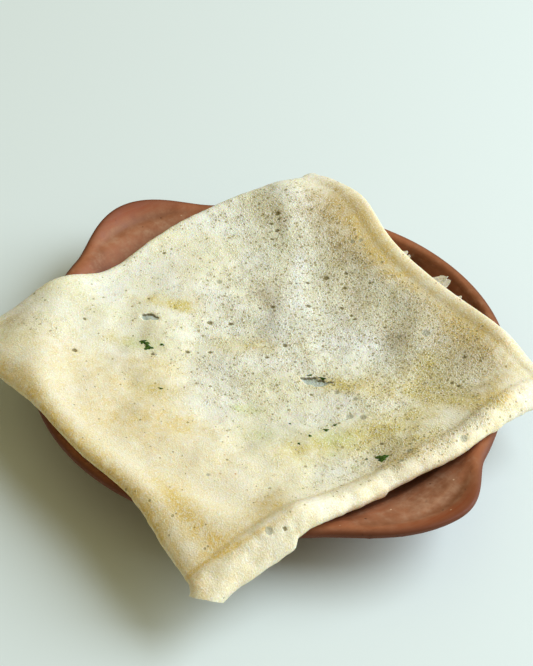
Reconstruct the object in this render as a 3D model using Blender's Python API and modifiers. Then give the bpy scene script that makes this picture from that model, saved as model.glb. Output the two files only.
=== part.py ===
"""A neer dosa folded into a square parcel, lying on a shallow terracotta dish with two ears.

Metres, +Z up.  The origin is the centre of the dish's flat underside and the ears point along
+X and -X.  The dish is turned and its ears are then pulled out of the rim.  The dosa is one
round sheet: its four sides are carried round a fold path, and the parcel is then draped.
"""

import bmesh
import bpy
import numpy as np
from math import pi, radians

MM = 0.001
WELD = 0.00001              # metres: nearer points become one

# Dish, in millimetres
FOOT_RADIUS = 64.0          # flat underside
RIM_RADIUS = 108.4          # outermost line of the plain rim
RIM_HEIGHT = 30.0           # top of the plain rim above the table
WALL = 5.5                  # clay thickness
FLOOR_RADIUS = 60.0         # where the inside starts to rise
# An ear: its middle and where it dies out clockwise and anticlockwise of it, in degrees, how
# far it stands out past the rim, and its lip above the rim
EARS = (
    (2.6, 28.5, 17.5, 20.3, 3.7),
    (179.8, 22.0, 19.5, 15.1, 6.2),
)
EAR_TROUGH = 1.6            # hollow between the ear's lip and the rim line
EAR_FLARE = 7.4             # the rim's slow outward swell beside an ear
PULLED_FROM = 98.4          # the clay is drawn outwards past this radius
PULLED_OVER = 10.0
LIP_FROM = 101.8            # the lip lies between this radius and the rim's
TROUGH_AT = 0.34            # the hollow's place across the lip, and its half-width
TROUGH_WIDTH = 0.22
LIP_RISES_FROM = 0.25       # share of the way across where the ear's lip starts to rise
TOP_FROM = 20.0             # only clay above this height is raised with the lip
TOP_OVER = 7.0
# The hand's slow unevenness of the wall: waves round it with their cosine and sine parts
WALL_FROM = 66.0
RIM_SWELLS = ((1, -1.6, 0.1), (2, 0.8, 2.5))
RIM_RISES = ((1, 0.3, 0.2),)
DISH_STEPS = 112            # facets round the dish

# Dosa, in millimetres
HALF_SIDE = 99.0            # from the parcel's middle to a fold line, on the flat sheet
SHEET_RADIUS = HALF_SIDE * 2 ** 0.5   # the round sheet passes through the parcel's corners
THICKNESS = 1.8
CENTRE = (2.2, -7.7)        # the parcel's middle against the dish's
REST_HEIGHT = 38.3          # middle of the sheet where it crosses the rim
SAG = 13.0                  # how far the middle hangs below the crossings
SAG_RADIUS = 106.5
SAG_POWER = 0.7
SAG_SOFTNESS = 0.02         # rounds the step from the sag to the level crossings
RIM_RIDE = 2.0              # hump where the sheet rides over the rim
RIM_RIDE_WIDTH = 11.0
TILT = 0.020                # rise towards +x

# A side's fold path: where it starts on the flat sheet, then (length, turn in degrees, extra
# length where the fold is loose) for each arc or straight run, from the middle outwards with
# +turn upwards.
FOLD_PATHS = {
    "+x": (82.4, ((3.0, 30.0, 0.0), (8.0, -78.0, 1.5), (2.5, 0.0, 2.0), (7.0, -163.0, 3.0),
                  (4.0, 0.0, 1.0), (5.0, 31.0, 1.0))),
    "-x": (95.2, ((2.5, -14.0, 0.0), (5.5, -174.0, 0.0), (2.0, 0.0, 0.0), (6.0, 8.0, 0.0))),
    "+y": (90.6, ((2.0, 18.0, 0.0), (5.0, -40.0, 0.0), (6.0, -164.0, 0.0), (3.0, 0.0, 0.0),
                  (6.0, 6.0, 0.0))),
    "-y": (88.5, ((9.0, -34.0, 0.0), (5.6, -168.0, 0.0), (6.0, 0.0, 0.0), (6.0, 22.0, 0.0))),
}
# Every fold opens out towards the corners, where the sheet's own edge shows
CORNER_SLACK = {"+x": (0.40, 0.72), "-x": (0.72, 0.72), "+y": (0.72, 0.72), "-y": (0.72, 0.72)}
CORNER_FROM = 80.0
CORNER_OVER = 17.0
# The +x fold loosens in two steps towards the near corner: from y, over, share
LOOSENING = ((-2.0, 3.0, 0.3), (-50.0, 4.0, 0.7))
# A side bows in plan: side, middle along it, half-width, outward shift
BOWS = (
    ("-x", -34.0, 24.0, -5.0),
    ("-x", 20.0, 22.0, 2.2),
    ("-x", 78.0, 18.0, -8.2),
    ("+y", -62.0, 24.0, 7.5),
    ("-y", 40.0, 28.0, -4.0),
    ("+x", -40.0, 26.0, 0.8),
    ("+x", 10.0, 24.0, 1.2),
    ("+x", 30.0, 28.0, 3.3),
)
# Lines of the sheet's grid on each side, on the flat sheet, up to the fold line and past it
GRID_LINES = {
    "+x": ((84.5, 86.5, 88.5, 90.5, 92.5, 94.5, 96.8, 99.0), (101.0, 102.8, 104.6, 107.0)),
    "-x": ((88.0, 93.0, 95.5, 96.8, 97.9, 99.0), (100.1, 101.2, 102.4, 105.0)),
    "+y": ((87.5, 91.0, 93.0, 95.0, 97.2, 99.0), (100.4, 101.8, 103.2, 106.0)),
    "-y": ((85.0, 89.0, 92.5, 95.5, 97.4, 99.0), (100.4, 101.8, 103.2, 106.0)),
}
INNER_LINES = 21            # evenly spaced grid lines across the middle of the sheet
INNER_REACH = 80.0
FLAP_MIDDLE = 0.6           # share of a flap's depth where its last line but one lies

BOW_FROM = 55.0             # a bow fades in from this far off the parcel's middle line
BOW_OVER = 40.0
# The parcel's corners: which way, droop, slide along the y side, how far the corner is rounded
# back, and its tip more
CORNERS = (
    (-1, 1, 1.0, 0.0, -1.4, 4.0),    # far
    (1, 1, 5.3, 0.0, 2.6, 2.0),      # right
    (1, -1, 5.9, 0.0, 0.5, 0.0),     # near
    (-1, -1, 4.8, 8.3, -3.2, 2.0),   # left
)
CORNER_BENDS_FROM = 92.0    # from here out, along the diagonal
CORNER_BENDS_OVER = 46.0
PULL_FROM = 112.0
PULL_OVER = 26.0
TIP_FROM = 129.0
TIP_OVER = 12.0
# Waves of the draped sheet: middle x and y, half-width along and across, direction in
# degrees, height
WAVES = (
    (-78.0, 66.0, 15.0, 9.0, 40.0, -2.0),       # dimple inside the far corner
    (-58.0, 56.0, 26.0, 9.0, 62.0, 2.8),        # pale ridge beside it
    (-69.0, 61.0, 11.0, 6.0, -26.0, 1.5),
    (-40.0, 68.0, 30.0, 10.0, 20.0, -1.6),      # valley behind the ridge
    (-52.0, 49.0, 36.0, 12.0, -8.0, -1.6),
    (-71.0, 38.0, 28.0, 12.0, 6.0, -1.6),
    (-39.0, 54.0, 21.0, 9.5, -32.0, -1.6),
    (-29.0, 65.0, 19.0, 9.0, -14.0, -1.6),
    (-7.0, 42.0, 27.0, 11.0, -39.0, -1.8),
    (-25.0, 26.0, 32.0, 7.0, -44.0, 1.5),       # low ridge across the middle
    (10.0, 60.0, 40.0, 14.0, 5.0, -1.8),
    (28.0, 60.0, 10.0, 9.0, -36.0, 1.8),
    (39.0, 41.0, 31.0, 12.0, 6.0, -1.8),
    (56.0, 46.0, 25.0, 12.0, -78.0, -1.8),
    (72.0, 70.0, 24.0, 9.0, 80.0, -3.0),        # hollow inside the right corner
    (88.0, 17.0, 20.0, 10.0, -55.0, 2.0),
    (80.0, -6.0, 15.0, 10.0, -38.0, -2.0),
    (70.0, -24.0, 20.0, 12.0, 7.0, -1.4),
    (70.0, -55.0, 11.0, 7.0, -57.0, -1.2),
    (70.0, -70.0, 26.0, 9.0, 30.0, -2.2),       # hollow inside the near corner
    (90.0, -55.0, 14.0, 16.0, 90.0, 3.3),
    (92.0, -102.0, 18.0, 9.0, -38.0, -1.5),
    (52.0, -92.0, 22.0, 7.5, -4.0, -1.5),
    (30.0, -60.0, 45.0, 16.0, 10.0, 1.6),
    (-11.0, -11.0, 16.0, 11.0, 12.0, 1.7),
    (-31.0, -36.0, 39.0, 12.0, -43.0, 1.8),
    (-67.0, -31.0, 32.0, 12.0, -8.0, 1.6),
    (-68.0, -49.0, 16.0, 10.0, -12.0, 1.4),
    (-73.0, -95.0, 39.0, 8.0, -50.0, 1.5),
    (-97.0, -58.0, 15.0, 24.0, 90.0, 4.0),      # the side lifts where it rides the rim
    (-96.0, 46.0, 22.0, 18.0, 90.0, 0.4),
    (-95.0, -30.0, 18.0, 20.0, 90.0, -4.5),     # and hangs between
    (-51.0, -93.0, 14.0, 14.0, 0.0, 0.5),
    (-42.0, 97.0, 22.0, 14.0, 0.0, 1.4),
    (-82.0, 68.0, 14.0, 14.0, 0.0, 6.0),        # the far corner's crossing rides over the rim
)

# Ragged bits of lace that stand out of the far fold: x along the side on the flat sheet,
# width, length, lean towards +x, curl of the tip upwards
LACE_BITS = (
    (-19.0, 9.0, 4.5, 1.5, 1.0),
    (4.0, 11.0, 8.0, 4.0, 3.5),
    (19.0, 6.0, 4.0, 2.0, 1.0),
)
LACE_ROOT = 101.2           # the bits grow from this line of the flat sheet, mid-fold
LACE_THICKNESS = 1.0
LACE_TAPER = 0.65           # share of its width a bit has lost at its tip
LACE_WAVE = 0.6             # height of the tip's wave, and the wave's rate across the bit
LACE_WAVE_RATE = 9.0


def smooth_step(value):
    """0 below 0, 1 above 1, with a soft start and end between."""
    value = np.clip(value, 0.0, 1.0)
    return value * value * (3.0 - 2.0 * value)


# ---------------------------------------------------------------- scene and materials

def clear_scene():
    for old in list(bpy.data.objects):
        bpy.data.objects.remove(old, do_unlink=True)


def new_collection(name):
    collection = bpy.data.collections.new(name)
    bpy.context.scene.collection.children.link(collection)
    return collection


def principled(name, colour, roughness):
    material = bpy.data.materials.new(name)
    material.use_nodes = True
    shader = material.node_tree.nodes["Principled BSDF"]
    shader.inputs["Base Color"].default_value = (*colour, 1.0)
    shader.inputs["Roughness"].default_value = roughness
    shader.inputs["Metallic"].default_value = 0.0
    material.diffuse_color = (*colour, 1.0)
    return material


def finish(part, name, material, collection):
    """Name a finished object, give it its material and put it in the part's collection."""
    part.name = name
    part.data.name = name
    part.data.materials.clear()
    part.data.materials.append(material)
    for holder in list(part.users_collection):
        holder.objects.unlink(part)
    collection.objects.link(part)
    part.data.shade_smooth()
    part.data.set_sharp_from_angle(angle=radians(50.0))


def applied(part):
    """A copy of the object's evaluated mesh, in place of the object's mesh and modifiers."""
    bpy.context.view_layer.update()
    evaluated = part.evaluated_get(bpy.context.evaluated_depsgraph_get())
    mesh = bpy.data.meshes.new_from_object(evaluated)
    part.modifiers.clear()
    part.data = mesh
    return part


# ---------------------------------------------------------------- the dish

def dish_profile():
    """Radius and height of the dish's section, from the rim down the outside and back inside."""
    outside = [(107.3, 25.6), (103.0, 22.0), (95.0, 16.0), (83.5, 8.0), (74.0, 2.2),
               (69.0, 0.5), (FOOT_RADIUS, 0.0), (0.0, 0.0)]
    inside = [(0.0, WALL), (30.0, WALL), (FLOOR_RADIUS, WALL + 0.3), (74.0, WALL + 2.9),
              (85.0, WALL + 8.2), (93.5, WALL + 14.0), (98.6, 23.6), (101.8, 27.3)]
    rim = [(103.4, 29.2), (104.8, 29.9), (106.0, RIM_HEIGHT), (107.3, 29.6),
           (RIM_RADIUS, 28.2), (108.3, 26.8)]
    return rim[::-1][:1] + outside + inside + rim[:-1]


def waves_round(angle, waves):
    """The sum of whole waves round the dish."""
    return sum(cosine * np.cos(count * angle) + sine * np.sin(count * angle)
               for count, cosine, sine in waves)


def ears_at(angle):
    """How far the lip is drawn out, how far it rises and how much of an ear there is."""
    reach, lift, ear = np.zeros_like(angle), np.zeros_like(angle), np.zeros_like(angle)
    for middle, clockwise, anticlockwise, ear_reach, ear_lift in EARS:
        away = np.degrees((angle - radians(middle) + pi) % (2.0 * pi) - pi)
        share = np.abs(away) / np.where(away > 0.0, anticlockwise, clockwise)
        bell = np.cos(0.5 * pi * np.minimum(share, 1.0)) ** 2
        flare = np.cos(0.25 * pi * np.minimum(share, 2.0)) ** 2
        reach += ear_reach * bell + EAR_FLARE * flare * (1.0 - bell)
        lift += ear_lift * bell
        ear += bell
    return reach, lift, ear


def shape_rim(mesh):
    """Draw the turned rim out and up into two ears, each with a hollow and a raised lip, and
    give the wall its slow unevenness."""
    points = np.empty(len(mesh.vertices) * 3)
    mesh.vertices.foreach_get("co", points)
    points = points.reshape(-1, 3) / MM
    radius = np.hypot(points[:, 0], points[:, 1])
    angle = np.arctan2(points[:, 1], points[:, 0])
    reach, lift, ear = ears_at(angle)
    across_lip = np.clip((radius - LIP_FROM) / (RIM_RADIUS - LIP_FROM), 0.0, 1.0)
    outward = smooth_step((radius - PULLED_FROM) / PULLED_OVER) ** 0.8
    wall = smooth_step((radius - WALL_FROM) / (RIM_RADIUS - WALL_FROM))
    top = smooth_step((points[:, 2] - TOP_FROM) / TOP_OVER)
    lip = smooth_step((across_lip - LIP_RISES_FROM) / (1.0 - LIP_RISES_FROM))
    hollow = np.exp(-((across_lip - TROUGH_AT) / TROUGH_WIDTH) ** 2)
    new_radius = radius + reach * outward + waves_round(angle, RIM_SWELLS) * wall
    points[:, 2] += top * (lift * lip - EAR_TROUGH * ear * hollow)
    points[:, 2] += waves_round(angle, RIM_RISES) * wall
    points[:, 0] = new_radius * np.cos(angle)
    points[:, 1] = new_radius * np.sin(angle)
    mesh.vertices.foreach_set("co", (points * MM).ravel())
    mesh.update()


def make_dish(material, collection):
    mesh = bpy.data.meshes.new("plate")
    profile = [(r * MM, 0.0, z * MM) for r, z in dish_profile()]
    edges = [(i, (i + 1) % len(profile)) for i in range(len(profile))]
    mesh.from_pydata(profile, edges, [])
    dish = bpy.data.objects.new("plate", mesh)
    collection.objects.link(dish)
    screw = dish.modifiers.new("turn", "SCREW")
    screw.steps = screw.render_steps = DISH_STEPS
    screw.use_merge_vertices = True
    screw.merge_threshold = WELD
    screw.use_normal_calculate = True
    applied(dish)
    weld = bmesh.new()
    weld.from_mesh(dish.data)
    bmesh.ops.remove_doubles(weld, verts=weld.verts, dist=WELD)
    bmesh.ops.recalc_face_normals(weld, faces=weld.faces)
    weld.to_mesh(dish.data)
    weld.free()
    shape_rim(dish.data)
    finish(dish, "plate", material, collection)


# ---------------------------------------------------------------- the dosa

def along_path(distance, runs, loose, grip):
    """Point and heading on a path of arcs and straight runs, straight on before and after.

    distance is measured from the path's start; the path starts at the origin along +x.  Where
    the sheet is loose its runs are longer, and every turn is multiplied by grip.
    """
    left = np.maximum(distance, 0.0)
    x = np.minimum(distance, 0.0)
    z = np.zeros_like(left)
    heading = np.zeros_like(left)
    for length, turn, extra in runs:
        length = length + extra * loose
        done = np.minimum(left, length)
        bend = (radians(turn) * grip + 1e-7) / length
        x = x + (np.sin(heading + bend * done) - np.sin(heading)) / bend
        z = z - (np.cos(heading + bend * done) - np.cos(heading)) / bend
        heading = heading + bend * done
        left = left - done
    return x + left * np.cos(heading), z + left * np.sin(heading), heading


def fold_side(across, height, side, cross, loose=0.0):
    """Carry points past a side's fold line round its path.

    across is measured outwards and cross along the side, both on the flat sheet.
    """
    start, runs = FOLD_PATHS[side]
    slack = np.where(cross < 0.0, *CORNER_SLACK[side])
    grip = 1.0 - slack * smooth_step((np.abs(cross) - CORNER_FROM) / CORNER_OVER)
    x, z, heading = along_path(across - start, runs, loose, grip)
    moved = start + x - height * np.sin(heading)
    lifted = z + height * np.cos(heading)
    return moved, lifted


def fold(points):
    """The flat round sheet with its four sides folded under: y sides first, then x sides."""
    x, y = points[:, 0], points[:, 1]
    height = np.zeros_like(x)
    far, far_z = fold_side(y, height, "+y", x)
    near, near_z = fold_side(-y, height, "-y", x)
    y = np.where(points[:, 1] > 0.0, far, -near)
    height = np.where(points[:, 1] > 0.0, far_z, near_z)
    loose = sum(share * smooth_step((start - y) / over) for start, over, share in LOOSENING)
    right, right_z = fold_side(x, height, "+x", points[:, 1], loose)
    left, left_z = fold_side(-x, height, "-x", points[:, 1])
    new_x = np.where(x > 0.0, right, -left)
    new_z = np.where(x > 0.0, right_z, left_z)
    return np.stack([new_x, y, new_z], 1)


def drape(points):
    """Let the parcel hang: it sags inside the rim, and waves are added."""
    x = points[:, 0] + CENTRE[0]
    y = points[:, 1] + CENTRE[1]
    inside = 1.0 - (x * x + y * y) / SAG_RADIUS ** 2
    inside = 0.5 * (inside + np.sqrt(inside * inside + SAG_SOFTNESS))
    height = REST_HEIGHT + TILT * x - SAG * inside ** SAG_POWER
    over_rim = (np.hypot(x, y) - SAG_RADIUS) / RIM_RIDE_WIDTH
    height = height + RIM_RIDE * np.exp(-over_rim * over_rim)
    for side, middle, width, shift in BOWS:
        sign = 1.0 if side[0] == "+" else -1.0
        across, along = (x, y) if side[1] == "x" else (y, x)
        moved = sign * shift * smooth_step((sign * across - BOW_FROM) / BOW_OVER)
        moved = moved * np.exp(-((along - middle) / width) ** 2)
        across += moved
    for side_x, side_y, droop, slide, pull, tip_pull in CORNERS:
        out = (side_x * points[:, 0] + side_y * points[:, 1]) / 2 ** 0.5
        share = smooth_step((out - CORNER_BENDS_FROM) / CORNER_BENDS_OVER)
        height = height - droop * share
        back = pull * smooth_step((out - PULL_FROM) / PULL_OVER)
        back = back + tip_pull * smooth_step((out - TIP_FROM) / TIP_OVER)
        x = x - side_x * (back + slide * share) / 2 ** 0.5
        y = y - side_y * (back - slide * share) / 2 ** 0.5
    for wave_x, wave_y, long, wide, direction, lift in WAVES:
        turn = radians(direction)
        u = ((x - wave_x) * np.cos(turn) + (y - wave_y) * np.sin(turn)) / long
        v = (-(x - wave_x) * np.sin(turn) + (y - wave_y) * np.cos(turn)) / wide
        height = height + lift * np.exp(-u * u - v * v)
    return np.stack([x, y, points[:, 2] + height], 1)


def grid_lines(low_side, high_side):
    """Positions of the grid's lines inside the fold lines, and those past each of them."""
    low_in, low_out = GRID_LINES[low_side]
    high_in, high_out = GRID_LINES[high_side]
    inner = np.linspace(-INNER_REACH, INNER_REACH, INNER_LINES)
    inside = np.concatenate([-np.array(low_in)[::-1], inner, np.array(high_in)])
    return np.array(low_out), inside, np.array(high_out)


def flap_lines(outer, cross):
    """Distances from the sheet's middle of a flap's lines, where it is cut at cross.

    Near a corner the flap is shallow, so its lines close up evenly to the sheet's edge.
    """
    edge = np.sqrt(np.maximum(SHEET_RADIUS ** 2 - cross ** 2, HALF_SIDE ** 2))
    count = len(outer) + 2
    wanted = np.concatenate([outer - HALF_SIDE, [FLAP_MIDDLE * (edge - HALF_SIDE), edge - HALF_SIDE]])
    even = (edge - HALF_SIDE) * np.arange(1, count + 1) / count
    wanted[:-2] = np.minimum(wanted[:-2], even[:-2])
    wanted[-2] = max(wanted[-2], even[-2])
    return HALF_SIDE + wanted


def flat_sheet():
    """The round sheet as a grid whose corners are left out: points and faces."""
    x_low, x_lines, x_high = grid_lines("-x", "+x")
    y_low, y_lines, y_high = grid_lines("-y", "+y")
    flap = len(x_low) + 2
    columns = len(x_lines) + 2 * flap
    rows = len(y_lines) + 2 * flap
    places = {}
    for i in range(columns):
        for j in range(rows):
            a, b = i - flap, j - flap
            in_x, in_y = 0 <= a < len(x_lines), 0 <= b < len(y_lines)
            if in_x and in_y:
                places[i, j] = (x_lines[a], y_lines[b])
            elif in_y:
                outer = flap_lines(x_low if a < 0 else x_high, y_lines[b])
                places[i, j] = (-outer[-a - 1] if a < 0 else outer[a - len(x_lines)], y_lines[b])
            elif in_x:
                outer = flap_lines(y_low if b < 0 else y_high, x_lines[a])
                places[i, j] = (x_lines[a], -outer[-b - 1] if b < 0 else outer[b - len(y_lines)])
    order = {key: number for number, key in enumerate(places)}
    faces = []
    for i, j in places:
        corners = [(i, j), (i + 1, j), (i + 1, j + 1), (i, j + 1)]
        if all(corner in order for corner in corners):
            faces.append([order[corner] for corner in corners])
    return np.array(list(places.values())), faces


def make_lace_bit(middle, width, length, lean, curl, collection):
    """A small strip that tapers and curls up: a grid from its root to its tip, thickened."""
    bpy.ops.mesh.primitive_grid_add(x_subdivisions=4, y_subdivisions=4, size=1.0)
    bit = bpy.context.object
    for vertex in bit.data.vertices:
        across = vertex.co.x
        out = vertex.co.y + 0.5
        taper = 1.0 - LACE_TAPER * out ** 2
        on_sheet = middle + across * width * taper + lean * out
        x, y, z = drape(fold(np.array([[on_sheet, LACE_ROOT]])))[0]
        z = z + curl * out ** 3 + LACE_WAVE * out * np.sin(LACE_WAVE_RATE * across)
        vertex.co = (x * MM, (y + out * length) * MM, z * MM)
    thicken = bit.modifiers.new("thickness", "SOLIDIFY")
    thicken.thickness = LACE_THICKNESS * MM
    thicken.offset = 0.0
    for holder in list(bit.users_collection):
        holder.objects.unlink(bit)
    collection.objects.link(bit)
    return applied(bit)


def make_dosa(material, collection):
    flat, faces = flat_sheet()
    points = drape(fold(flat)) * MM
    mesh = bpy.data.meshes.new("dosa")
    mesh.from_pydata(points.tolist(), [], faces)
    weld = bmesh.new()
    weld.from_mesh(mesh)
    bmesh.ops.remove_doubles(weld, verts=weld.verts, dist=WELD)
    weld.to_mesh(mesh)
    weld.free()
    dosa = bpy.data.objects.new("dosa", mesh)
    collection.objects.link(dosa)
    thicken = dosa.modifiers.new("thickness", "SOLIDIFY")
    thicken.thickness = THICKNESS * MM
    thicken.offset = 0.0
    lace = new_collection("lace")
    for sizes in LACE_BITS:
        make_lace_bit(*sizes, lace)
    join = dosa.modifiers.new("lace", "BOOLEAN")
    join.operation = "UNION"
    join.operand_type = "COLLECTION"
    join.collection = lace
    applied(dosa)
    for bit in list(lace.objects):
        bpy.data.objects.remove(bit, do_unlink=True)
    bpy.data.collections.remove(lace)
    finish(dosa, "dosa", material, collection)


def main():
    clear_scene()
    collection = new_collection("neer_dosa_plate")
    terracotta = principled("terracotta", (0.30, 0.13, 0.065), 0.6)
    rice_crepe = principled("rice_crepe", (0.74, 0.69, 0.50), 0.55)
    make_dish(terracotta, collection)
    make_dosa(rice_crepe, collection)


main()
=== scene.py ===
"""Plate of neer dosa: a soft rice crepe folded into a square parcel, lying on a shallow clay dish.

Metres, +Z up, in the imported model's frame: the origin is the middle of the dish's flat underside
and the dish's two ears point along +X and -X.  Shapes are worked out in millimetres.  The crepe
is one round sheet, given by flat coordinates u and v on it and a height over its middle layer;
its four sides are carried round a fold path, and the parcel is then draped.
"""

from math import cos, pi, radians, sin

import bpy
import numpy as np
from bpy.props import FloatProperty, FloatVectorProperty, IntProperty, PointerProperty
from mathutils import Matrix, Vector


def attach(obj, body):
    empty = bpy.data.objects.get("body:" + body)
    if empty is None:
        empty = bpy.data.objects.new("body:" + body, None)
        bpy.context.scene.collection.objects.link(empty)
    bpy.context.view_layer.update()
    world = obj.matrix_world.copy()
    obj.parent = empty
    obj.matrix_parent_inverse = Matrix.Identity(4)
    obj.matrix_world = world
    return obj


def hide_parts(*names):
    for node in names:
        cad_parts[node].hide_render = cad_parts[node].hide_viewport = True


bl_info = {
    "name": "Plate of neer dosa",
    "version": (1, 0, 0),
    "blender": (4, 5, 0),
    "location": "3D View > Sidebar > Neer dosa",
    "description": "A folded rice crepe on a clay dish with two ears, with its stage",
    "category": "Add Mesh",
}

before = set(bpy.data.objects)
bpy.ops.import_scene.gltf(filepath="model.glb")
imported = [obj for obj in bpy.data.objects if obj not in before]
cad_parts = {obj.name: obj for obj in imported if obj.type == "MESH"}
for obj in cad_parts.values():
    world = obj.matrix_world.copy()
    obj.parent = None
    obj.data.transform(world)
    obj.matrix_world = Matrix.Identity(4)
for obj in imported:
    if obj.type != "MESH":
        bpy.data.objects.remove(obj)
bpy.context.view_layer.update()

MM = 0.001
UV_SPAN = 320.0             # millimetres of the flat sheet across the whole UV map
SHARP_ANGLE = 60.0          # edges sharper than this stay sharp, in degrees

# A pair of numbers marked "from, over" says where something fades in and over how far.

# ---- the dish, in millimetres

FOOT_RADIUS = 64.0          # flat underside
RIM_RADIUS = 108.4          # outermost line of the plain rim
RIM_HEIGHT = 30.0           # top of the plain rim above the table
WALL = 5.5                  # clay thickness
FLOOR_RADIUS = 60.0         # where the inside starts to rise
# The section, as radius and height: up the outside, over the rim and down the inside
OUTSIDE = ((0.0, 0.0), (FOOT_RADIUS, 0.0), (69.0, 0.5), (74.0, 2.2), (83.5, 8.0), (95.0, 16.0),
           (103.0, 22.0), (107.3, 25.6))
RIM = ((108.3, 26.8), (RIM_RADIUS, 28.2), (107.3, 29.6), (106.0, RIM_HEIGHT), (104.8, 29.9),
       (103.4, 29.2))
INSIDE = ((101.8, 27.3), (98.6, 23.6), (93.5, WALL + 14.0), (85.0, WALL + 8.2), (74.0, WALL + 2.9),
          (FLOOR_RADIUS, WALL + 0.3), (30.0, WALL), (0.0, WALL))
RIM_CROWDING = 4.0          # how much closer the mesh rings lie at the rim, and over which width
CROWDING_WIDTH = 9.0
SECTION_STEPS = 4000        # steps along the section that its rings are picked from

# An ear: its middle and where it dies out clockwise and anticlockwise of it, in degrees, how
# far it stands out past the rim, and its lip above the rim
EARS = ((2.6, 28.5, 17.5, 20.3, 3.7), (179.8, 22.0, 19.5, 15.1, 6.2))
EAR_FLARE = 7.4             # the rim's slow outward swell beside an ear
PULLED = (98.4, 10.0)       # radii where the clay is drawn outwards: from, over
PULL_POWER = 0.8
# Across the lip, from 0 at LIP_FROM to 1 at the rim's radius
LIP_FROM = 101.8
LIP_RISES = (0.25, 0.75)    # the ear's lip rises: from, over
TROUGH_DEPTH = 1.6          # the hollow between the ear's lip and the rim line
TROUGH = (0.34, 0.22)       # its middle and half-width
CREASE_DEPTH = 0.4          # the pressed line between the hollow and the raised lip
CREASE = (0.36, 0.07)
FLANGE = (0.4, 0.2)         # the redder clay of an ear's raised lip: from, over
WORN_AND_HIGHLIGHT = (0.75, 0.35)         # the lighter edge band, worn and with a painted highlight: its middle and half-width
RAISED = (20.0, 7.0)        # heights where the clay is raised with the lip: from, over
PAINTED_SHADE_FROM = 4.0            # painted shade on the outside reaches this far in over the rim, fading over
PAINTED_SHADE_FADES_OVER = 3.5

# The hand's slow unevenness of the wall: waves round it with their cosine and sine parts
WALL_FROM = 66.0
RIM_SWELLS = ((1, -1.6, 0.1), (2, 0.8, 2.5))
RIM_RISES = ((1, 0.3, 0.2),)
NOISE_CIRCLE = 60.0         # noise round the dish is read along a circle of this radius
# Noise layers: height, size of the noise's cells, seed
UNEVENNESS = ((0.35, 38.0, 51), (0.12, 11.0, 52))
UNEVEN = (90.0, 12.0)       # radii: from, over
# Faint turning grooves: depth, drift along x and y, width, seed
GROOVES = ((0.07, 0.06, 0.04, 2.1, 53), (0.05, 0.1, 0.0, 5.0, 54))
PITS = (9.0, 0.5, 0.9, 55)  # small pits: size of their cells, chance, radius, seed
PIT_DEPTH = 0.3
PIT_STEEPNESS = 1.5
PITTED = (0.0, 20.0)        # radii: from, over
OFF_FOOT = (1.0, 4.0)       # heights above the flat underside: from, over

# ---- the crepe, in millimetres

HALF_SIDE = 99.0            # from the parcel's middle to a fold line, on the flat sheet
SHEET_RADIUS = HALF_SIDE * 2 ** 0.5   # the round sheet passes through the parcel's corners
THICKNESS = 1.8
EDGE_THICKNESS = 0.8        # the sheet thins out to its edge, over this far
THINS_OVER = 7.0
CENTRE = (2.2, -7.7)        # the parcel's middle against the dish's
REST_HEIGHT = 38.3          # middle of the sheet where it crosses the rim
SAG = 13.0                  # how far the middle hangs below the crossings
SAG_RADIUS = 106.5
SAG_POWER = 0.7
SAG_SOFTNESS = 0.02         # rounds the step from the sag to the level crossings
RIM_RIDE = 2.0              # hump where the sheet rides over the rim
RIM_RIDE_WIDTH = 11.0
TILT = 0.020                # rise towards +x

# A side's fold path: where it starts on the flat sheet, then (length, turn in degrees, extra
# length where the fold is loose) for each arc or straight run, +turn upwards
FOLD_PATHS = {
    "+x": (82.4, ((3.0, 30.0, 0.0), (8.0, -78.0, 1.5), (2.5, 0.0, 2.0), (7.0, -163.0, 3.0),
                  (4.0, 0.0, 1.0), (5.0, 31.0, 1.0))),
    "-x": (95.2, ((2.5, -14.0, 0.0), (5.5, -174.0, 0.0), (2.0, 0.0, 0.0), (6.0, 8.0, 0.0))),
    "+y": (90.6, ((2.0, 18.0, 0.0), (5.0, -40.0, 0.0), (6.0, -164.0, 0.0), (3.0, 0.0, 0.0),
                  (6.0, 6.0, 0.0))),
    "-y": (88.5, ((9.0, -34.0, 0.0), (5.6, -168.0, 0.0), (6.0, 0.0, 0.0), (6.0, 22.0, 0.0))),
}
ALMOST_STRAIGHT = 1e-7      # radians added to every turn, so that a straight run has a radius
# Every fold opens out towards the corners, where the sheet's own edge shows
CORNER_SLACK = {"+x": (0.40, 0.72), "-x": (0.72, 0.72), "+y": (0.72, 0.72), "-y": (0.72, 0.72)}
CORNER_OPENS = (80.0, 17.0)     # from, over
# The +x fold loosens in two steps towards the near corner: from y, over, share
LOOSENING = ((-2.0, 3.0, 0.3), (-50.0, 4.0, 0.7))
# A side bows in plan: side, middle along it, half-width, outward shift
BOWS = (
    ("-x", -34.0, 24.0, -5.0), ("-x", 20.0, 22.0, 2.2), ("-x", 78.0, 18.0, -8.2),
    ("+y", -62.0, 24.0, 7.5), ("-y", 40.0, 28.0, -4.0), ("+x", -40.0, 26.0, 0.8),
    ("+x", 10.0, 24.0, 1.2), ("+x", 30.0, 28.0, 3.3),
)
BOWED = (55.0, 40.0)        # from the parcel's middle line: from, over
# The parcel's corners: which way, droop, slide along the y side, how far the corner is rounded
# back, and its tip more
CORNERS = (
    (-1, 1, 1.0, 0.0, -1.4, 4.0),    # far
    (1, 1, 5.3, 0.0, 2.6, 2.0),      # right
    (1, -1, 5.9, 0.0, 0.5, 0.0),     # near
    (-1, -1, 4.8, 8.3, -3.2, 2.0),   # left
)
# Along a corner's diagonal, each with from, over
CORNER_BENDS = (92.0, 46.0)
CORNER_ROUNDED = (112.0, 26.0)
TIP_ROUNDED = (129.0, 12.0)
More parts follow.
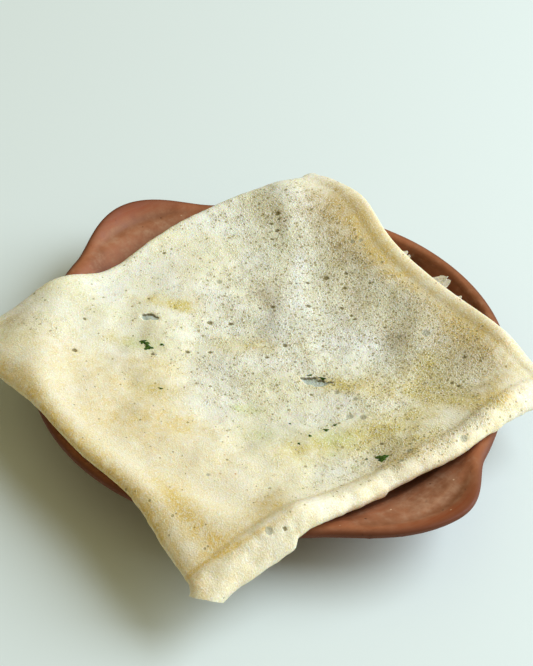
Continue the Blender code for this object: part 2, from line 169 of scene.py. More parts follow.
# Waves of the draped sheet: middle x and y, half-width along and across, direction in
# degrees, height
WAVES = (
    # Far corner: a dimple, the pale ridge beside it and the valley behind the ridge
    (-78, 66, 15, 9, 40, -2), (-58, 56, 26, 9, 62, 2.8), (-69, 61, 11, 6, -26, 1.5),
    (-40, 68, 30, 10, 20, -1.6), (-52, 49, 36, 12, -8, -1.6), (-71, 38, 28, 12, 6, -1.6),
    (-39, 54, 21, 9.5, -32, -1.6), (-29, 65, 19, 9, -14, -1.6), (-7, 42, 27, 11, -39, -1.8),
    # A low ridge across the middle, and the folds towards the right corner
    (-25, 26, 32, 7, -44, 1.5), (10, 60, 40, 14, 5, -1.8), (28, 60, 10, 9, -36, 1.8),
    (39, 41, 31, 12, 6, -1.8), (56, 46, 25, 12, -78, -1.8),
    # The hollow inside the right corner, and the side between it and the near corner
    (72, 70, 24, 9, 80, -3), (88, 17, 20, 10, -55, 2), (80, -6, 15, 10, -38, -2),
    (70, -24, 20, 12, 7, -1.4), (70, -55, 11, 7, -57, -1.2),
    # The hollow inside the near corner, and the near side
    (70, -70, 26, 9, 30, -2.2), (90, -55, 14, 16, 90, 3.3), (92, -102, 18, 9, -38, -1.5),
    (52, -92, 22, 7.5, -4, -1.5), (30, -60, 45, 16, 10, 1.6),
    # The middle and the left corner
    (-11, -11, 16, 11, 12, 1.7), (-31, -36, 39, 12, -43, 1.8), (-67, -31, 32, 12, -8, 1.6),
    (-68, -49, 16, 10, -12, 1.4), (-73, -95, 39, 8, -50, 1.5),
    # The -x side lifts where it rides the rim and hangs between; the far crossing rides over it
    (-97, -58, 15, 24, 90, 4), (-96, 46, 22, 18, 90, 0.4), (-95, -30, 18, 20, 90, -4.5),
    (-51, -93, 14, 14, 0, 0.5), (-42, 97, 22, 14, 0, 1.4), (-82, 68, 14, 14, 0, 6),
)

# The fine surface.  Noise layers: height, size of the noise's cells, seed
LUMPS = ((0.90, 24.0, 11), (0.75, 12.0, 12), (0.28, 5.5, 15))   # of the whole sheet
LUMPS_FADE = (72.0, 16.0)   # from the parcel's middle: from, over
LUMPS_LOST = 0.9            # the share of the lumps that fades
CORNER_REACH = 0.75         # towards a corner: this share of the distances from both middle lines
CRUMB = ((0.07, 2.6, 13), (0.05, 1.7, 14))      # of the outer face
CRUMB_CLOSED = 0.7          # the crumb's strength where the foam is closed, and more if spongy
CRUMB_SPONGY = 0.6
NEAR_LIP = ((0.50, 6.0, 16), (0.16, 3.0, 17))
NEAR_LIP_BAND = (87.0, 103.0, 4.0)      # a band: from, to, softness of its borders
# The rolled sides that are seen edge on have a ragged line: its noise, and each side's band
RAGGED_LINE = ((0.16, 4.4, 18), (0.09, 1.9, 19))
SEEN_EDGES = {"+x": (96.0, 108.0, 3.0), "-x": (92.0, 106.0, 3.0), "-y": (95.0, 106.0, 3.0)}
# The sheet's own edge runs in and out by noise, and so does this much of the sheet inside it
RAGGED_EDGE = ((0.7, 7.0, 21), (0.4, 2.3, 22))
EDGE_BAND = 6.0
MARK_DEPTHS = {"deep": 0.62, "shallow": 0.34, "torn": 1.1}
TEAR_RIM_HEIGHT = 0.25      # the raised border of a torn patch
TEAR_RAGGED = ((0.30, 1.9, 61), (0.20, 1.0, 62))
TEAR_REACH = 1.15           # a torn patch's wall starts at this share of its oval
TEAR_WALL = 0.35            # and goes down over this share
RIM_SHIFT = (-0.75, 0.55)   # towards the far side, where a torn patch's raised border and its painted shadow lie
MARK_SPREAD = 1.15          # a round mark ends at this share of its radius
MARK_STEEPNESS = 1.7

# The mesh
FLAP_STEP = 0.95            # between a flap's rows where they lie close together, round the fold
FLAP_WIDENS = 6             # power of the widening further in
FLAP_SHALLOW = 1.02         # rows lie evenly where the flap is hardly deeper than the close rows
FLAP_FLIPS = (False, True, True, False)     # for the +x, +y, -x and -y flaps

# ---- the crepe's marks, in flat mm

# Torn patches with a thin skin left at the bottom: u, v, half-length, half-width, direction
TEARS = ((21.6, 15.6, 7.7, 2.9, 30.0), (-55.8, -23.9, 4.6, 2.1, 45.0))
# Single deep pores, shallow pores and small amber specks: u, v, radius
DEEP_PORES = (
    (-55, -65.5, 1.3), (94, -55.5, 0.9), (-70, -51, 0.9), (-35, -36, 0.9), (-28, -21.5, 1.1),
    (-68, -17, 0.9), (-22, -13, 1), (-39.5, -1, 1.4), (-4, 6.5, 0.9), (-89, 6.5, 0.9), (-34, 7, 1.1),
    (27.5, 8.5, 0.9), (71.5, 13, 0.9), (-5.5, 18, 1.2), (-33.5, 24, 0.8), (-30, 29, 1), (-22, 44, 1.3),
    (-37, 48, 0.8), (-35.5, 53.5, 1.1), (-67, 55.5, 0.8), (-2, 56.5, 0.9), (-5, 57, 0.9),
    (-12.5, 57, 1.1), (-70, 60.5, 1.2), (-75.5, 61, 0.8), (61.5, 62.5, 0.9), (65, 63, 1), (12, 63.5, 0.9),
    (-33.5, 63.5, 1.6), (-75, 65, 0.9), (-72, 66, 0.8), (-22, 66, 1.1), (-78, 66, 1.3),
    (-29.5, 72.5, 1.1), (54, 76, 1), (-16, 76.5, 0.9),
)
SHALLOW_PORES = (
    (45, -61.5, 1), (91, -61.5, 1.8), (88, 9.5, 1.1), (84, 17, 1.6), (34, 18, 1.2), (-59.5, 18.5, 1.3),
    (43, 21.5, 1.2), (-17.5, 26.5, 1.1), (-13.5, 27.5, 1.2), (17.5, 60.5, 1.2), (22.5, 63.5, 1.1),
    (-41.5, 84, 1.2), (-39, 87, 1.1), (29.5, 73.5, 2.4), (93, 39, 2), (50, 13, 1.9), (54.5, 17, 1.7),
)
AMBER_SPECKS = (
    (36, -67.5, 0.6), (47.5, -56.5, 0.6), (6.5, -50.5, 0.6), (51.5, -50.5, 0.8), (38.5, -47, 0.6),
    (6, -42.5, 0.7), (-44, -3, 0.7), (-12.5, 5, 0.9), (-14.5, 11.5, 0.8), (19, 22.5, 0.8),
    (44.5, 37, 0.8), (16.5, 44, 0.8), (88.5, 64, 0.7), (-25, 80.5, 0.8),
)
# the "rim" mark is a torn patch's raised far border, which also carries a painted shadow
MARK_NAMES = ("torn", "rim", "deep", "shallow", "amber")
# Bits of green herb baked into the sheet: u, v, half-length, half-width, direction
HERBS = (
    (78.4, 7.2, 2.9, 2.7, 50), (-44.4, -35.4, 2, 1.5, 70), (-39.6, -35.3, 2.6, 1.6, 50),
    (-37.2, -29.4, 1.3, 0.8, 50), (-42.2, -34.6, 2, 1.4, 20), (50.3, -0.5, 1.3, 1.1, 30),
    (49.7, -8.9, 1.1, 0.8, 10), (50.2, 4.5, 1.2, 0.9, 80), (50.5, -15.6, 0.9, 0.7, 0),
    (74.4, 2.6, 0.8, 0.5, 40), (37.2, -10.7, 0.7, 0.5, 40), (16.8, 15.8, 1.5, 0.6, 60),
    (22, 19.2, 2.2, 0.6, 30), (-13, -46.1, 1.2, 0.6, 45),
)
HERB_TURNS = 16             # mesh steps round a bit, and rings from its middle to its outline
HERB_RINGS = 4
# Lobes of a bit's outline: share of its size, lobes round it, turn from one bit to the next
HERB_LOBES = ((0.28, 3.0, 1.0), (0.16, 7.0, 2.0))
HERB_PROUD = 0.05           # a bit's face stands this far over the sheet
HERB_DOME = 0.35            # its middle stands this much higher, and its border dips as much
HERB_SUNK = 0.45            # and its underside lies in the sheet
HERB_FOLDS = (0.12, 5.0)    # height of a bit's folds, and how many there are round it
HERB_CRUMPLE = (0.15, 0.8, 41)      # height, size, seed

# Soft tints of the sheet, some of them partly painted light or shade as marked, and "spongy",
# how open its foam is: u, v, half-length, half-width, direction, amount
TINTS = {
    # whiter patches, partly painted light that brightens slopes facing away from the light and the lit
    # ridges
    "white": (
        (-45, 56, 19, 4, 138, 0.8), (-21, 41, 14, 4, 149, 0.6), (-1, 34, 11, 5, 160, 0.45),
        (3, -36, 12, 7, 34, 0.6), (-29, 6, 8, 5, 29, 0.6), (-16, 23, 8, 4, 7, 0.4),
        (-80, -57, 9, 6, 30, 0.45), (-90, -9, 13, 6, 19, 0.4), (45, -69, 11, 4, 26, 0.35),
        (19, 54, 11, 5, 9, 0.5), (-91, 36, 11, 6, 28, 0.35), (-15, -15, 10, 4, 27, 0.35),
        (-78, -33, 13, 6, 21, 0.25), (-20, 22, 13, 10, 145, 0.6), (15, 44, 15, 13, 0, 0.6),
        (76, 46, 16, 8, 85, 0.5)),
    "peach": (
        (10, 103, 90, 10, 0, 1), (20, -80, 110, 42, 10, 0.75), (92, 40, 60, 14, 90, 0.5)),
    # golden patches, and painted shade in the long thin ovals along the folds' creases and the near edge
    "gold_and_crease_shade": (
        (-30, -41, 16, 6, 43, 0.6), (9, -54, 19, 9, 38, 0.65), (-4, -74, 18, 8, 9, 0.3),
        (51, -85, 15, 6, 177, 0.7), (82, -82, 9, 5, 91, 1), (66, -83, 11, 5, 179, 0.7),
        (75, -47, 9, 5, 97, 0.5), (82, -65, 11, 4, 94, 0.6), (43, -71, 9, 6, 17, 0.45),
        (-57, 0, 7, 4, 9, 0.4), (46, 33, 9, 4, 32, 0.6), (36, 36, 5, 4, 22, 0.5),
        (1, -72, 37, 20, 9, 0.23), (-30, -73, 33, 16, 21, 0.18), (50, -47, 22, 14, 39, 0.18),
        (-64, -78, 15, 10, 4, 0.14), (10, -97.5, 90, 4.2, 0, 1.1), (62, -86, 26, 9, 8, 0.45),
        (-60, -94, 34, 5, 0, 0.35), (85, 0, 70, 2.2, 90, 0.45), (-20, 89, 30, 7, 2, 1.2),
        (46, 89, 26, 6.5, 0, 1.2), (87.4, -78, 20, 1.2, 82, 1.5), (84, 64, 9, 4.5, 50, 1),
        (98, 0, 90, 6, 90, 0.3), (82, 60, 12, 6, 60, 1), (76, 74, 10, 9, 0, 0.5),
        (-12, -48, 17, 10, 40, 0.5), (-46, -66, 22, 8, 20, 0.3), (-48, 92, 20, 6, 5, 0.6),
        (54, 50, 14, 9, 15, 0.6), (80, -52, 9, 7, 5, 0.7), (86, 18, 16, 5, 90, 0.7),
        (41, 80, 18, 8, 175, 0.5)),
    "yellow": (
        (56, 60, 23, 7, 8, 0.6), (68, 27, 22, 8, 87, 0.87), (60, 2, 20, 8, 80, 0.72),
        (53, -17, 12, 7, 81, 0.58), (36, 27, 19, 6, 39, 0.94), (45, 65, 7, 4, 17, 0.87),
        (76, 57, 14, 5, 24, 0.6), (80, 24, 13, 5, 84, 0.87), (29, 18, 7, 4, 39, 0.58),
        (-13, 10, 8, 5, 15, 0.58), (-17, 0, 10, 5, 50, 0.58), (-52, -43, 9, 4, 46, 0.65),
        (-61, -12, 13, 4, 37, 1.01), (-54, -5, 6, 4, 73, 0.87), (-14, -46, 11, 5, 45, 0.65),
        (54, 48, 12, 8, 15, 0.7)),
    # olive-grey patches, and painted shade in the drooping left corner and round the far corner's dimple
    "olive_and_painted_shade": (
        (-84, -80, 12, 9, 20, 0.75), (-50, 60, 40, 18, 30, 0.4), (-18, 22, 22, 9, 60, 0.45),
        (40, 50, 30, 14, 20, 0.45), (56, -2, 18, 10, 70, 0.55), (36, -24, 16, 9, 50, 0.5),
        (-80, -45, 20, 12, 30, 0.4), (8, -8, 24, 12, 35, 0.2)),
    # browner patches, and painted shade on the slopes inside the far fold and near the right corner, which
    # face away from the light
    "tan": (
        (-62, 91, 30, 7, 175, 0.6), (-72, 83, 15, 8, 172, 0.6), (-79, 65, 7, 6, 176, 0.35),
        (-36, 31, 11, 5, 156, 0.45), (-76, 7, 8, 5, 2, 0.3), (-13, 65, 12, 6, 165, 0.45),
        (-39, 78, 15, 6, 173, 0.3), (20, 63, 9, 5, 173, 0.5), (-90, -76, 6, 7, 74, 0.6),
        (-82, -49, 7, 4, 11, 0.3), (14, 86, 16, 7, 0, 0.45), (55, 82, 18, 9, 10, 0.7),
        (75, 60, 14, 8, 50, 0.6), (83, 17, 14, 6, 80, 0.6), (-52, 84, 24, 13, 165, 0.8),
        (45, 66, 36, 20, 5, 0.4)),
    "green": (
        (57, -1, 9, 5, 50, 0.75), (18.5, -19, 6, 4, 50, 0.7), (-45.5, -38, 6, 4, 50, 0.8),
        (-39, -31, 4, 3, 50, 0.6), (34.8, -25.3, 6, 4, 50, 0.5), (14.5, -23, 2.2, 1.6, 50, 0.9),
        (64, -7, 2.2, 1.6, 50, 0.9), (75.5, -5, 2, 1.4, 50, 0.8)),
    "spongy": (
        (-25, 66, 70, 32, 5, 1), (50, 62, 46, 40, 0, 1), (84, 20, 36, 14, 80, 0.6),
        (-22, 20, 38, 26, 30, 0.6), (-76, -72, 16, 10, 20, 0.5), (0, 99, 110, 11, 0, -1.3),
        (98, 0, 6, 100, 0, -0.8), (10, -85, 120, 30, 0, -0.5), (18, 44, 16, 15, 0, -0.7),
        (76, 46, 16, 11, 80, -0.9), (78, 78, 12, 12, 0, -0.8), (2, -14, 28, 17, 35, 0.45)),
}

# Ragged bits of lace that stand out of the far fold: u along the side, width, length, lean
# towards +x, curl of the tip upwards
LACE_BITS = ((-19.0, 9.0, 4.5, 1.5, 1.0), (4.0, 11.0, 8.0, 4.0, 3.5), (19.0, 6.0, 4.0, 2.0, 1.0))
LACE_GRID = (17, 15)        # mesh points across and along a bit
LACE_ROOT = 101.2           # the bits grow from this line of the flat sheet, mid-fold
LACE_THICKNESS = 0.6
LACE_THINS = 0.55           # share of the thickness lost at the tip
LACE_TAPER = 0.5            # share of the width lost at the tip
LACE_NOTCHES = (0.28, 1.6, 31)      # share of the length, size and seed
LACE_ROUNDED = 1.1          # the sides are cut this much shorter than the middle
LACE_APART = 7.3            # how far apart in the noise one bit's notches lie from the next's
LACE_WAVE = 0.5
LACE_WAVES = 9.0            # radians of the wave across a bit
LACE_FLUTTER = (0.18, 1.1, 33)      # height, size, seed
LACE_WHITE = 0.8            # amount of the white tint


# ---- soft steps, bells and noise

def smooth_step(value):
    """0 below 0, 1 above 1, with a soft start and end between."""
    value = np.clip(value, 0.0, 1.0)
    return value * value * (3.0 - 2.0 * value)


def rise(value, start, over):
    """0 up to the start, 1 from as far past it as over says, and a smooth step between."""
    return smooth_step((value - start) / over)


def bell(value, middle, width):
    """1 in the middle, falling to both sides as exp(-x squared), with x in widths."""
    return np.exp(-((value - middle) / width) ** 2)


def cell_number(i, j, seed):
    """A number from 0 to 1 for each whole-number cell, from mixing the cell's place and seed."""
    mixed = (i * 374761393 + j * 668265263 + seed * 1442695041) & 0xFFFFFFFF
    mixed = ((mixed ^ (mixed >> 13)) * 1274126177) & 0xFFFFFFFF
    return ((mixed ^ (mixed >> 16)) & 0xFFFFFF) / 16777216.0


def cells(u, v, size):
    """The cell each point lies in, and its place in that cell."""
    x, y = u / size, v / size
    i, j = np.floor(x).astype(np.int64), np.floor(y).astype(np.int64)
    return i, j, x - i, y - j


def soft_noise(u, v, size, seed):
    """Smooth random heights from -1 to 1: the cells' numbers, blended softly between corners.

    The grid of cells is turned by the seed, so that grids of several sizes don't line up.
    """
    i, j, x, y = cells(u * cos(seed) - v * sin(seed), u * sin(seed) + v * cos(seed), size)
    x, y = smooth_step(x), smooth_step(y)
    low = cell_number(i, j, seed) * (1 - x) + cell_number(i + 1, j, seed) * x
    high = cell_number(i, j + 1, seed) * (1 - x) + cell_number(i + 1, j + 1, seed) * x
    return 2.0 * (low * (1 - y) + high * y) - 1.0


def layered_noise(u, v, *layers):
    """The sum of noises, each given by its height, the size of its cells and its seed."""
    return sum(height * soft_noise(u, v, size, seed) for height, size, seed in layers)


def scattered_dots(u, v, size, chance, radius, seed):
    """Round dots of uneven size, at most one a cell: 1 in a dot's middle, 0 at its edge."""
    i, j, x, y = cells(u, v, size)
    dots = np.zeros_like(u)
    for di in (-1, 0, 1):
        for dj in (-1, 0, 1):
            a, b = i + di, j + dj
            away_x = di + 0.1 + 0.8 * cell_number(a, b, seed) - x
            away_y = dj + 0.1 + 0.8 * cell_number(a, b, seed + 1) - y
            reach = radius * (0.6 + 0.6 * cell_number(a, b, seed + 2) ** 2) / size
            there = cell_number(a, b, seed + 3) < chance
            dots = np.maximum(dots, there * (1.0 - np.hypot(away_x, away_y) / reach))
    return dots


def oval(u, v, middle_u, middle_v, long, wide, direction):
    """Squared distance from an oval's middle in half-lengths: 1 on its outline."""
    turn = radians(direction)
    along = ((u - middle_u) * cos(turn) + (v - middle_v) * sin(turn)) / long
    across = (-(u - middle_u) * sin(turn) + (v - middle_v) * cos(turn)) / wide
    return along * along + across * across


# ---- the crepe's shape

def along_path(distance, runs, loose, grip):
    """Point and heading on a path of arcs and straight runs, straight on before and after.

    distance is measured from the path's start; the path starts at the origin along +x.  Where
    the sheet is loose its runs are longer, and every turn is multiplied by grip.
    """
    left = np.maximum(distance, 0.0)
    x = np.minimum(distance, 0.0)
    z = np.zeros_like(left)
    heading = np.zeros_like(left)
    for length, turn, extra in runs:
        length = length + extra * loose
        done = np.minimum(left, length)
        bend = (radians(turn) * grip + ALMOST_STRAIGHT) / length
        x = x + (np.sin(heading + bend * done) - np.sin(heading)) / bend
        z = z - (np.cos(heading + bend * done) - np.cos(heading)) / bend
        heading = heading + bend * done
        left = left - done
    return x + left * np.cos(heading), z + left * np.sin(heading), heading


def fold_side(across, height, side, cross, loose=0.0):
    """Carry points past a side's fold line round its path.

    across is measured outwards and cross along the side, both on the flat sheet.
    """
    start, runs = FOLD_PATHS[side]
    slack = np.where(cross < 0.0, *CORNER_SLACK[side])
    grip = 1.0 - slack * rise(np.abs(cross), *CORNER_OPENS)
    x, z, heading = along_path(across - start, runs, loose, grip)
    return start + x - height * np.sin(heading), z + height * np.cos(heading)


def fold(u, v, height):
    """The flat round sheet with its four sides folded under: y sides first, then x sides."""
    far, far_z = fold_side(v, height, "+y", u)
    near, near_z = fold_side(-v, height, "-y", u)
    y = np.where(v > 0.0, far, -near)
    height = np.where(v > 0.0, far_z, near_z)
    loose = sum(share * smooth_step((start - y) / over) for start, over, share in LOOSENING)
    right, right_z = fold_side(u, height, "+x", v, loose)
    left, left_z = fold_side(-u, height, "-x", v)
    return np.where(u > 0.0, right, -left), y, np.where(u > 0.0, right_z, left_z)


def drape(flat_x, flat_y, z):
    """Let the parcel hang: it sags inside the rim, its sides bow, its corners droop and are
    rounded back, and waves are added."""
    x = flat_x + CENTRE[0]
    y = flat_y + CENTRE[1]
    inside = 1.0 - (x * x + y * y) / SAG_RADIUS ** 2
    inside = 0.5 * (inside + np.sqrt(inside * inside + SAG_SOFTNESS))
    height = REST_HEIGHT + TILT * x - SAG * inside ** SAG_POWER
    height = height + RIM_RIDE * bell(np.hypot(x, y), SAG_RADIUS, RIM_RIDE_WIDTH)
    for side, middle, width, shift in BOWS:
        sign = 1.0 if side[0] == "+" else -1.0
        across, along = (x, y) if side[1] == "x" else (y, x)
        across += sign * shift * rise(sign * across, *BOWED) * bell(along, middle, width)
    for side_x, side_y, droop, slide, pull, tip_pull in CORNERS:
        out = (side_x * flat_x + side_y * flat_y) / 2 ** 0.5
        share = rise(out, *CORNER_BENDS)
        height = height - droop * share
        back = pull * rise(out, *CORNER_ROUNDED) + tip_pull * rise(out, *TIP_ROUNDED)
        x = x - side_x * (back + slide * share) / 2 ** 0.5
        y = y - side_y * (back - slide * share) / 2 ** 0.5
    for *place, lift in WAVES:
        height = height + lift * np.exp(-oval(x, y, *place))
    return np.stack([x, y, z + height], -1)


def on_crepe(u, v, height):
    """Points in millimetres for flat places u, v at a height over the sheet's middle layer."""
    return drape(*fold(u, v, height))


# ---- the crepe's surface

def tint_amounts(u, v):
    """The amount of each soft tint at flat places: a sum of ovals that fade outwards."""
    return {name: sum(amount * np.exp(-oval(u, v, *place)) for *place, amount in spots)
            for name, spots in TINTS.items()}


def tear_depth(u, v):
    """1 on the floor of a torn patch, 0 outside it, with a steep ragged wall between."""
    ragged = layered_noise(u, v, *TEAR_RAGGED)
    torn = np.zeros_like(u)
    for tear in TEARS:
        reach = np.sqrt(oval(u, v, *tear))
        torn = np.maximum(torn, smooth_step((TEAR_REACH + ragged - reach) / TEAR_WALL))
    return torn


def tear_border_shadow(u, v):
    """The far border of each torn patch, raised and darkened with a painted shadow: its shape
    less the same shape moved nearer.
    """
    moved_u, moved_v = RIM_SHIFT
    return np.clip(tear_depth(u, v) - tear_depth(u + moved_u, v + moved_v), 0.0, 1.0)


def round_marks(u, v, marks):
    """1 in the middle of each round mark, falling to 0 past its radius."""
    amount = np.zeros_like(u)
    for middle_u, middle_v, radius in marks:
        near = np.hypot(u - middle_u, v - middle_v) / (radius * MARK_SPREAD)
        amount = np.maximum(amount, smooth_step((1.0 - near) * MARK_STEEPNESS))
    return amount


def mark_amounts(u, v):
    """The amount of each kind of mark at flat places."""
    amounts = (tear_depth(u, v), tear_border_shadow(u, v), round_marks(u, v, DEEP_PORES),
               round_marks(u, v, SHALLOW_PORES), round_marks(u, v, AMBER_SPECKS))
    return dict(zip(MARK_NAMES, amounts))


def on_marks(flat, marks):
    """The same places, with the one nearest to each small mark moved onto its middle."""
    flat = flat.copy()
    for *middle, _ in marks:
        nearest = np.argmin(np.hypot(*(flat - middle).T))
        flat[nearest] = middle
    return flat


def band(distance, low, high, soft):
    """1 between two distances from the parcel's middle, fading to 0 outside them."""
    return smooth_step((distance - low) / soft + 0.5) * smooth_step((high - distance) / soft + 0.5)


def crepe_lumps(u, v):
    """How far the whole sheet is lifted by its soft lumps, in three sizes.

    They fade at the parcel's sides and corners, which keep their plain outline.
    """
    far_u, far_v = np.abs(u), np.abs(v)
    out = np.maximum(np.maximum(far_u, far_v), CORNER_REACH * (far_u + far_v))
    return layered_noise(u, v, *LUMPS) * (1.0 - LUMPS_LOST * rise(out, *LUMPS_FADE))


def crepe_relief(u, v, amounts):
    """Height of the fine surface over the smooth sheet.

    Small crumb, lumps on the near lip and a ragged line where three sides are seen edge on,
    less the pores and torn patches.
    """
    crumb = layered_noise(u, v, *CRUMB) * (CRUMB_CLOSED + CRUMB_SPONGY * amounts["spongy"])
    near_lip = band(u, *NEAR_LIP_BAND) * layered_noise(u, v, *NEAR_LIP)
    outward = {"+x": u, "-x": -u, "-y": -v}
    seen_edge = np.max([band(outward[side], *edge) for side, edge in SEEN_EDGES.items()], axis=0)
    ragged = layered_noise(u, v, *RAGGED_LINE) * seen_edge
    holes = sum(depth * amounts[name] for name, depth in MARK_DEPTHS.items())
    return crumb + near_lip + ragged + TEAR_RIM_HEIGHT * amounts["rim"] - holes


# ---- meshes

def put_mesh(name, material, points, faces, flat=None, amounts=None):
    """A smooth-shaded object from points in mm, faces, flat places for its UV map and amounts."""
    mesh = bpy.data.meshes.new(name)
    mesh.from_pydata((points * MM).tolist(), [], faces)
    mesh.update()
    if flat is not None:
        corner = np.empty(len(mesh.loops), dtype=np.int64)
        mesh.loops.foreach_get("vertex_index", corner)
        layer = mesh.uv_layers.new(name="flat")
        layer.data.foreach_set("uv", (flat[corner] / UV_SPAN + 0.5).ravel().astype(np.float32))
    for key, values in (amounts or {}).items():
        attribute = mesh.attributes.new(key, "FLOAT", "POINT")
        attribute.data.foreach_set("value", np.asarray(values, dtype=np.float32))
    mesh.shade_smooth()
    mesh.set_sharp_from_angle(angle=radians(SHARP_ANGLE))
    mesh.materials.append(material)
    piece = bpy.data.objects.new(name, mesh)
    bpy.context.scene.collection.objects.link(piece)
    return piece


def numbered(shape, first=0):
    """Vertex numbers of a grid of points, counted on from the first."""
    rows, columns = shape[:2]
    return first + np.arange(rows * columns).reshape(rows, columns)


def turned_round(numbers, poles):
    """A grid of vertex numbers closed into a ring, with one vertex for each of its poles."""
    numbers = np.vstack([numbers, numbers[:1]])
    for pole in poles:
        numbers[:, pole] = numbers[0, pole]
    return numbers


def grid_quads(numbers, flip=False):
    """Faces between neighbouring rows and columns of a grid of vertex numbers."""
    quads = np.stack([numbers[:-1, :-1], numbers[1:, :-1], numbers[1:, 1:], numbers[:-1, 1:]], -1)
    quads = quads.reshape(-1, 4)
    return quads[:, ::-1] if flip else quads


def without_doubles(quads):
    """The same faces as lists, with a triangle where two neighbouring corners are one vertex."""
    pinched = [quads[:, k] == quads[:, (k + 1) % 4] for k in range(4)]
    whole = quads[~np.any(pinched, axis=0)].tolist()
    for k, where in enumerate(pinched):
        whole += np.delete(quads[where], k, axis=1).tolist()
    return whole


def used_vertices(faces):
    """The vertex numbers that the faces use, and the faces with those counted from 0."""
    used = np.unique([corner for face in faces for corner in face])
    place = np.zeros(used[-1] + 1, dtype=np.int64)
    place[used] = np.arange(len(used))
    return used, [place[face].tolist() for face in faces]


# ---- the crepe

def flap_depths(across, rows):
    """How far past the fold line each row of a flap lies: even near the corners, where the
    flap is shallow, and elsewhere close together round the fold and then wider."""
    edge = np.sqrt(np.maximum(SHEET_RADIUS ** 2 - across ** 2, HALF_SIDE ** 2)) - HALF_SIDE
    row = np.arange(rows + 1)[:, None]
    tight = row * FLAP_STEP
    even = edge * (row / rows)
    wide = tight + (edge - tight[-1]) * (row / rows) ** FLAP_WIDENS
    return np.where(edge > tight[-1] * FLAP_SHALLOW, wide, even)


def crepe_patches(lines, rows):
    """Flat places of the middle square and of the four flaps, as grids of u and v.

    A flap's first row is the square's border, and its first and last columns are corners.
    """
    across = np.linspace(-HALF_SIDE, HALF_SIDE, lines)
    square = np.stack(np.meshgrid(across, across, indexing="ij"), -1)
    out = HALF_SIDE + flap_depths(across, rows)
    along = np.broadcast_to(across, out.shape)
    flaps = ((out, along), (along, out), (-out, along), (along, -out))
    return [square] + [np.stack(flap, -1) for flap in flaps]


def number_patches(patches, first):
    """Vertex numbers of each patch, shared along borders and at corners, and which are kept."""
    starts = np.cumsum([0] + [patch.shape[0] * patch.shape[1] for patch in patches])
    numbers = [numbered(patch.shape, start) for patch, start in zip(patches, starts)]
    same = np.arange(starts[-1])
    borders = [numbers[0][-1, :], numbers[0][:, -1], numbers[0][0, :], numbers[0][:, 0]]
    for flap, border in zip(numbers[1:], borders):
        same[flap[0]] = border
        same[flap[:, 0]] = border[0]
        same[flap[:, -1]] = border[-1]
    kept, place = np.unique(same, return_inverse=True)
    return [place[part] + first for part in numbers], kept


def flat_places(patches, kept):
    """The flat places of the vertices that are kept."""
    return np.concatenate([patch.reshape(-1, 2) for patch in patches])[kept]


def edge_loop(numbers):
    """The sheet's edge as four runs of vertex numbers, anticlockwise from above."""
    return [numbers[1][-1], numbers[2][-1][::-1], numbers[3][-1][::-1], numbers[4][-1]]


def patch_faces(numbers, flip):
    """Faces of the square and of the flaps."""
    faces = grid_quads(numbers[0], flip).tolist()
    for flap, turned in zip(numbers[1:], FLAP_FLIPS):
        faces += without_doubles(grid_quads(flap, turned != flip))
    return faces


def strip_faces(outer, inner, skip):
    """Faces between the two edges: each runs along one inner edge and several outer ones."""
    faces = []
    for outer_run, inner_run in zip(edge_loop(outer), edge_loop(inner)):
        for k in range(len(inner_run) - 1):
            fine = outer_run[k * skip:(k + 1) * skip + 1][::-1].tolist()
            faces.append(fine + [int(inner_run[k]), int(inner_run[k + 1])])
    return faces


def ragged_edge(flat):
    """Move places near the sheet's edge in and out by noise that runs round it."""
    radius = np.hypot(flat[:, 0], flat[:, 1])
    around = SHEET_RADIUS * np.arctan2(flat[:, 1], flat[:, 0])
    near_edge = smooth_step((radius - SHEET_RADIUS + EDGE_BAND) / EDGE_BAND)
    shift = layered_noise(around, np.zeros_like(radius), *RAGGED_EDGE)
    return flat * (1.0 + near_edge * shift / SHEET_RADIUS)[:, None]


def make_crepe(settings, material):
    """The whole crepe: a fine outer face, a coarser inner face, and a strip round the edge.

    The outer face stands half the thickness and the fine relief over the middle layer, the
    inner face half the thickness under it, and the soft lumps lift both.
    """
    lines, rows, skip = settings.crepe_lines, settings.flap_rows, settings.inner_skip
    fine = crepe_patches(lines, rows)
    columns = np.arange(0, lines, skip)
    flap_rows = np.unique(np.append(np.arange(0, rows, 2), rows))
    coarse = [fine[0][columns][:, columns]] + [flap[flap_rows][:, columns] for flap in fine[1:]]
    outer, kept_outer = number_patches(fine, 0)
    inner, kept_inner = number_patches(coarse, len(kept_outer))
    marked = on_marks(flat_places(fine, kept_outer), DEEP_PORES + SHALLOW_PORES + AMBER_SPECKS)
    flat = ragged_edge(np.concatenate([marked, flat_places(coarse, kept_inner)]))
    u, v = flat.T
    is_outer = np.arange(len(flat)) < len(kept_outer)
    marks = {name: amount * is_outer for name, amount in mark_amounts(u, v).items()}
    amounts = {**tint_amounts(u, v), **marks}
    from_edge = smooth_step((SHEET_RADIUS - np.hypot(u, v)) / THINS_OVER)
    thick = EDGE_THICKNESS + (THICKNESS - EDGE_THICKNESS) * from_edge
    relief = crepe_relief(u, v, amounts) * from_edge
    height = np.where(is_outer, 0.5 * thick + relief, -0.5 * thick) + crepe_lumps(u, v)
    faces = patch_faces(outer, False) + patch_faces(inner, True) + strip_faces(outer, inner, skip)
    piece = put_mesh("crepe", material, on_crepe(u, v, height), faces, flat, amounts)
    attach(piece, "root")
    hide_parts("dosa")
    return piece


def closed_sheets(tops, bottoms):
    """Points and faces of small sheets, each two like grids of points joined round their borders."""
    points, faces = [], []
    total = 0
    for over, under in zip(tops, bottoms):
        top = numbered(over.shape, total)
        bottom = numbered(under.shape, total + top.size)
        total += 2 * top.size
        faces += [grid_quads(top), grid_quads(bottom, True)]
        for low, high, flip in ((top[0], bottom[0], False), (top[-1], bottom[-1], True),
                                (top[:, 0], bottom[:, 0], True), (top[:, -1], bottom[:, -1], False)):
            faces.append(grid_quads(np.stack([low, high]), flip))
        points += [over.reshape(-1, 3), under.reshape(-1, 3)]
    return np.concatenate(points), np.concatenate(faces).tolist()


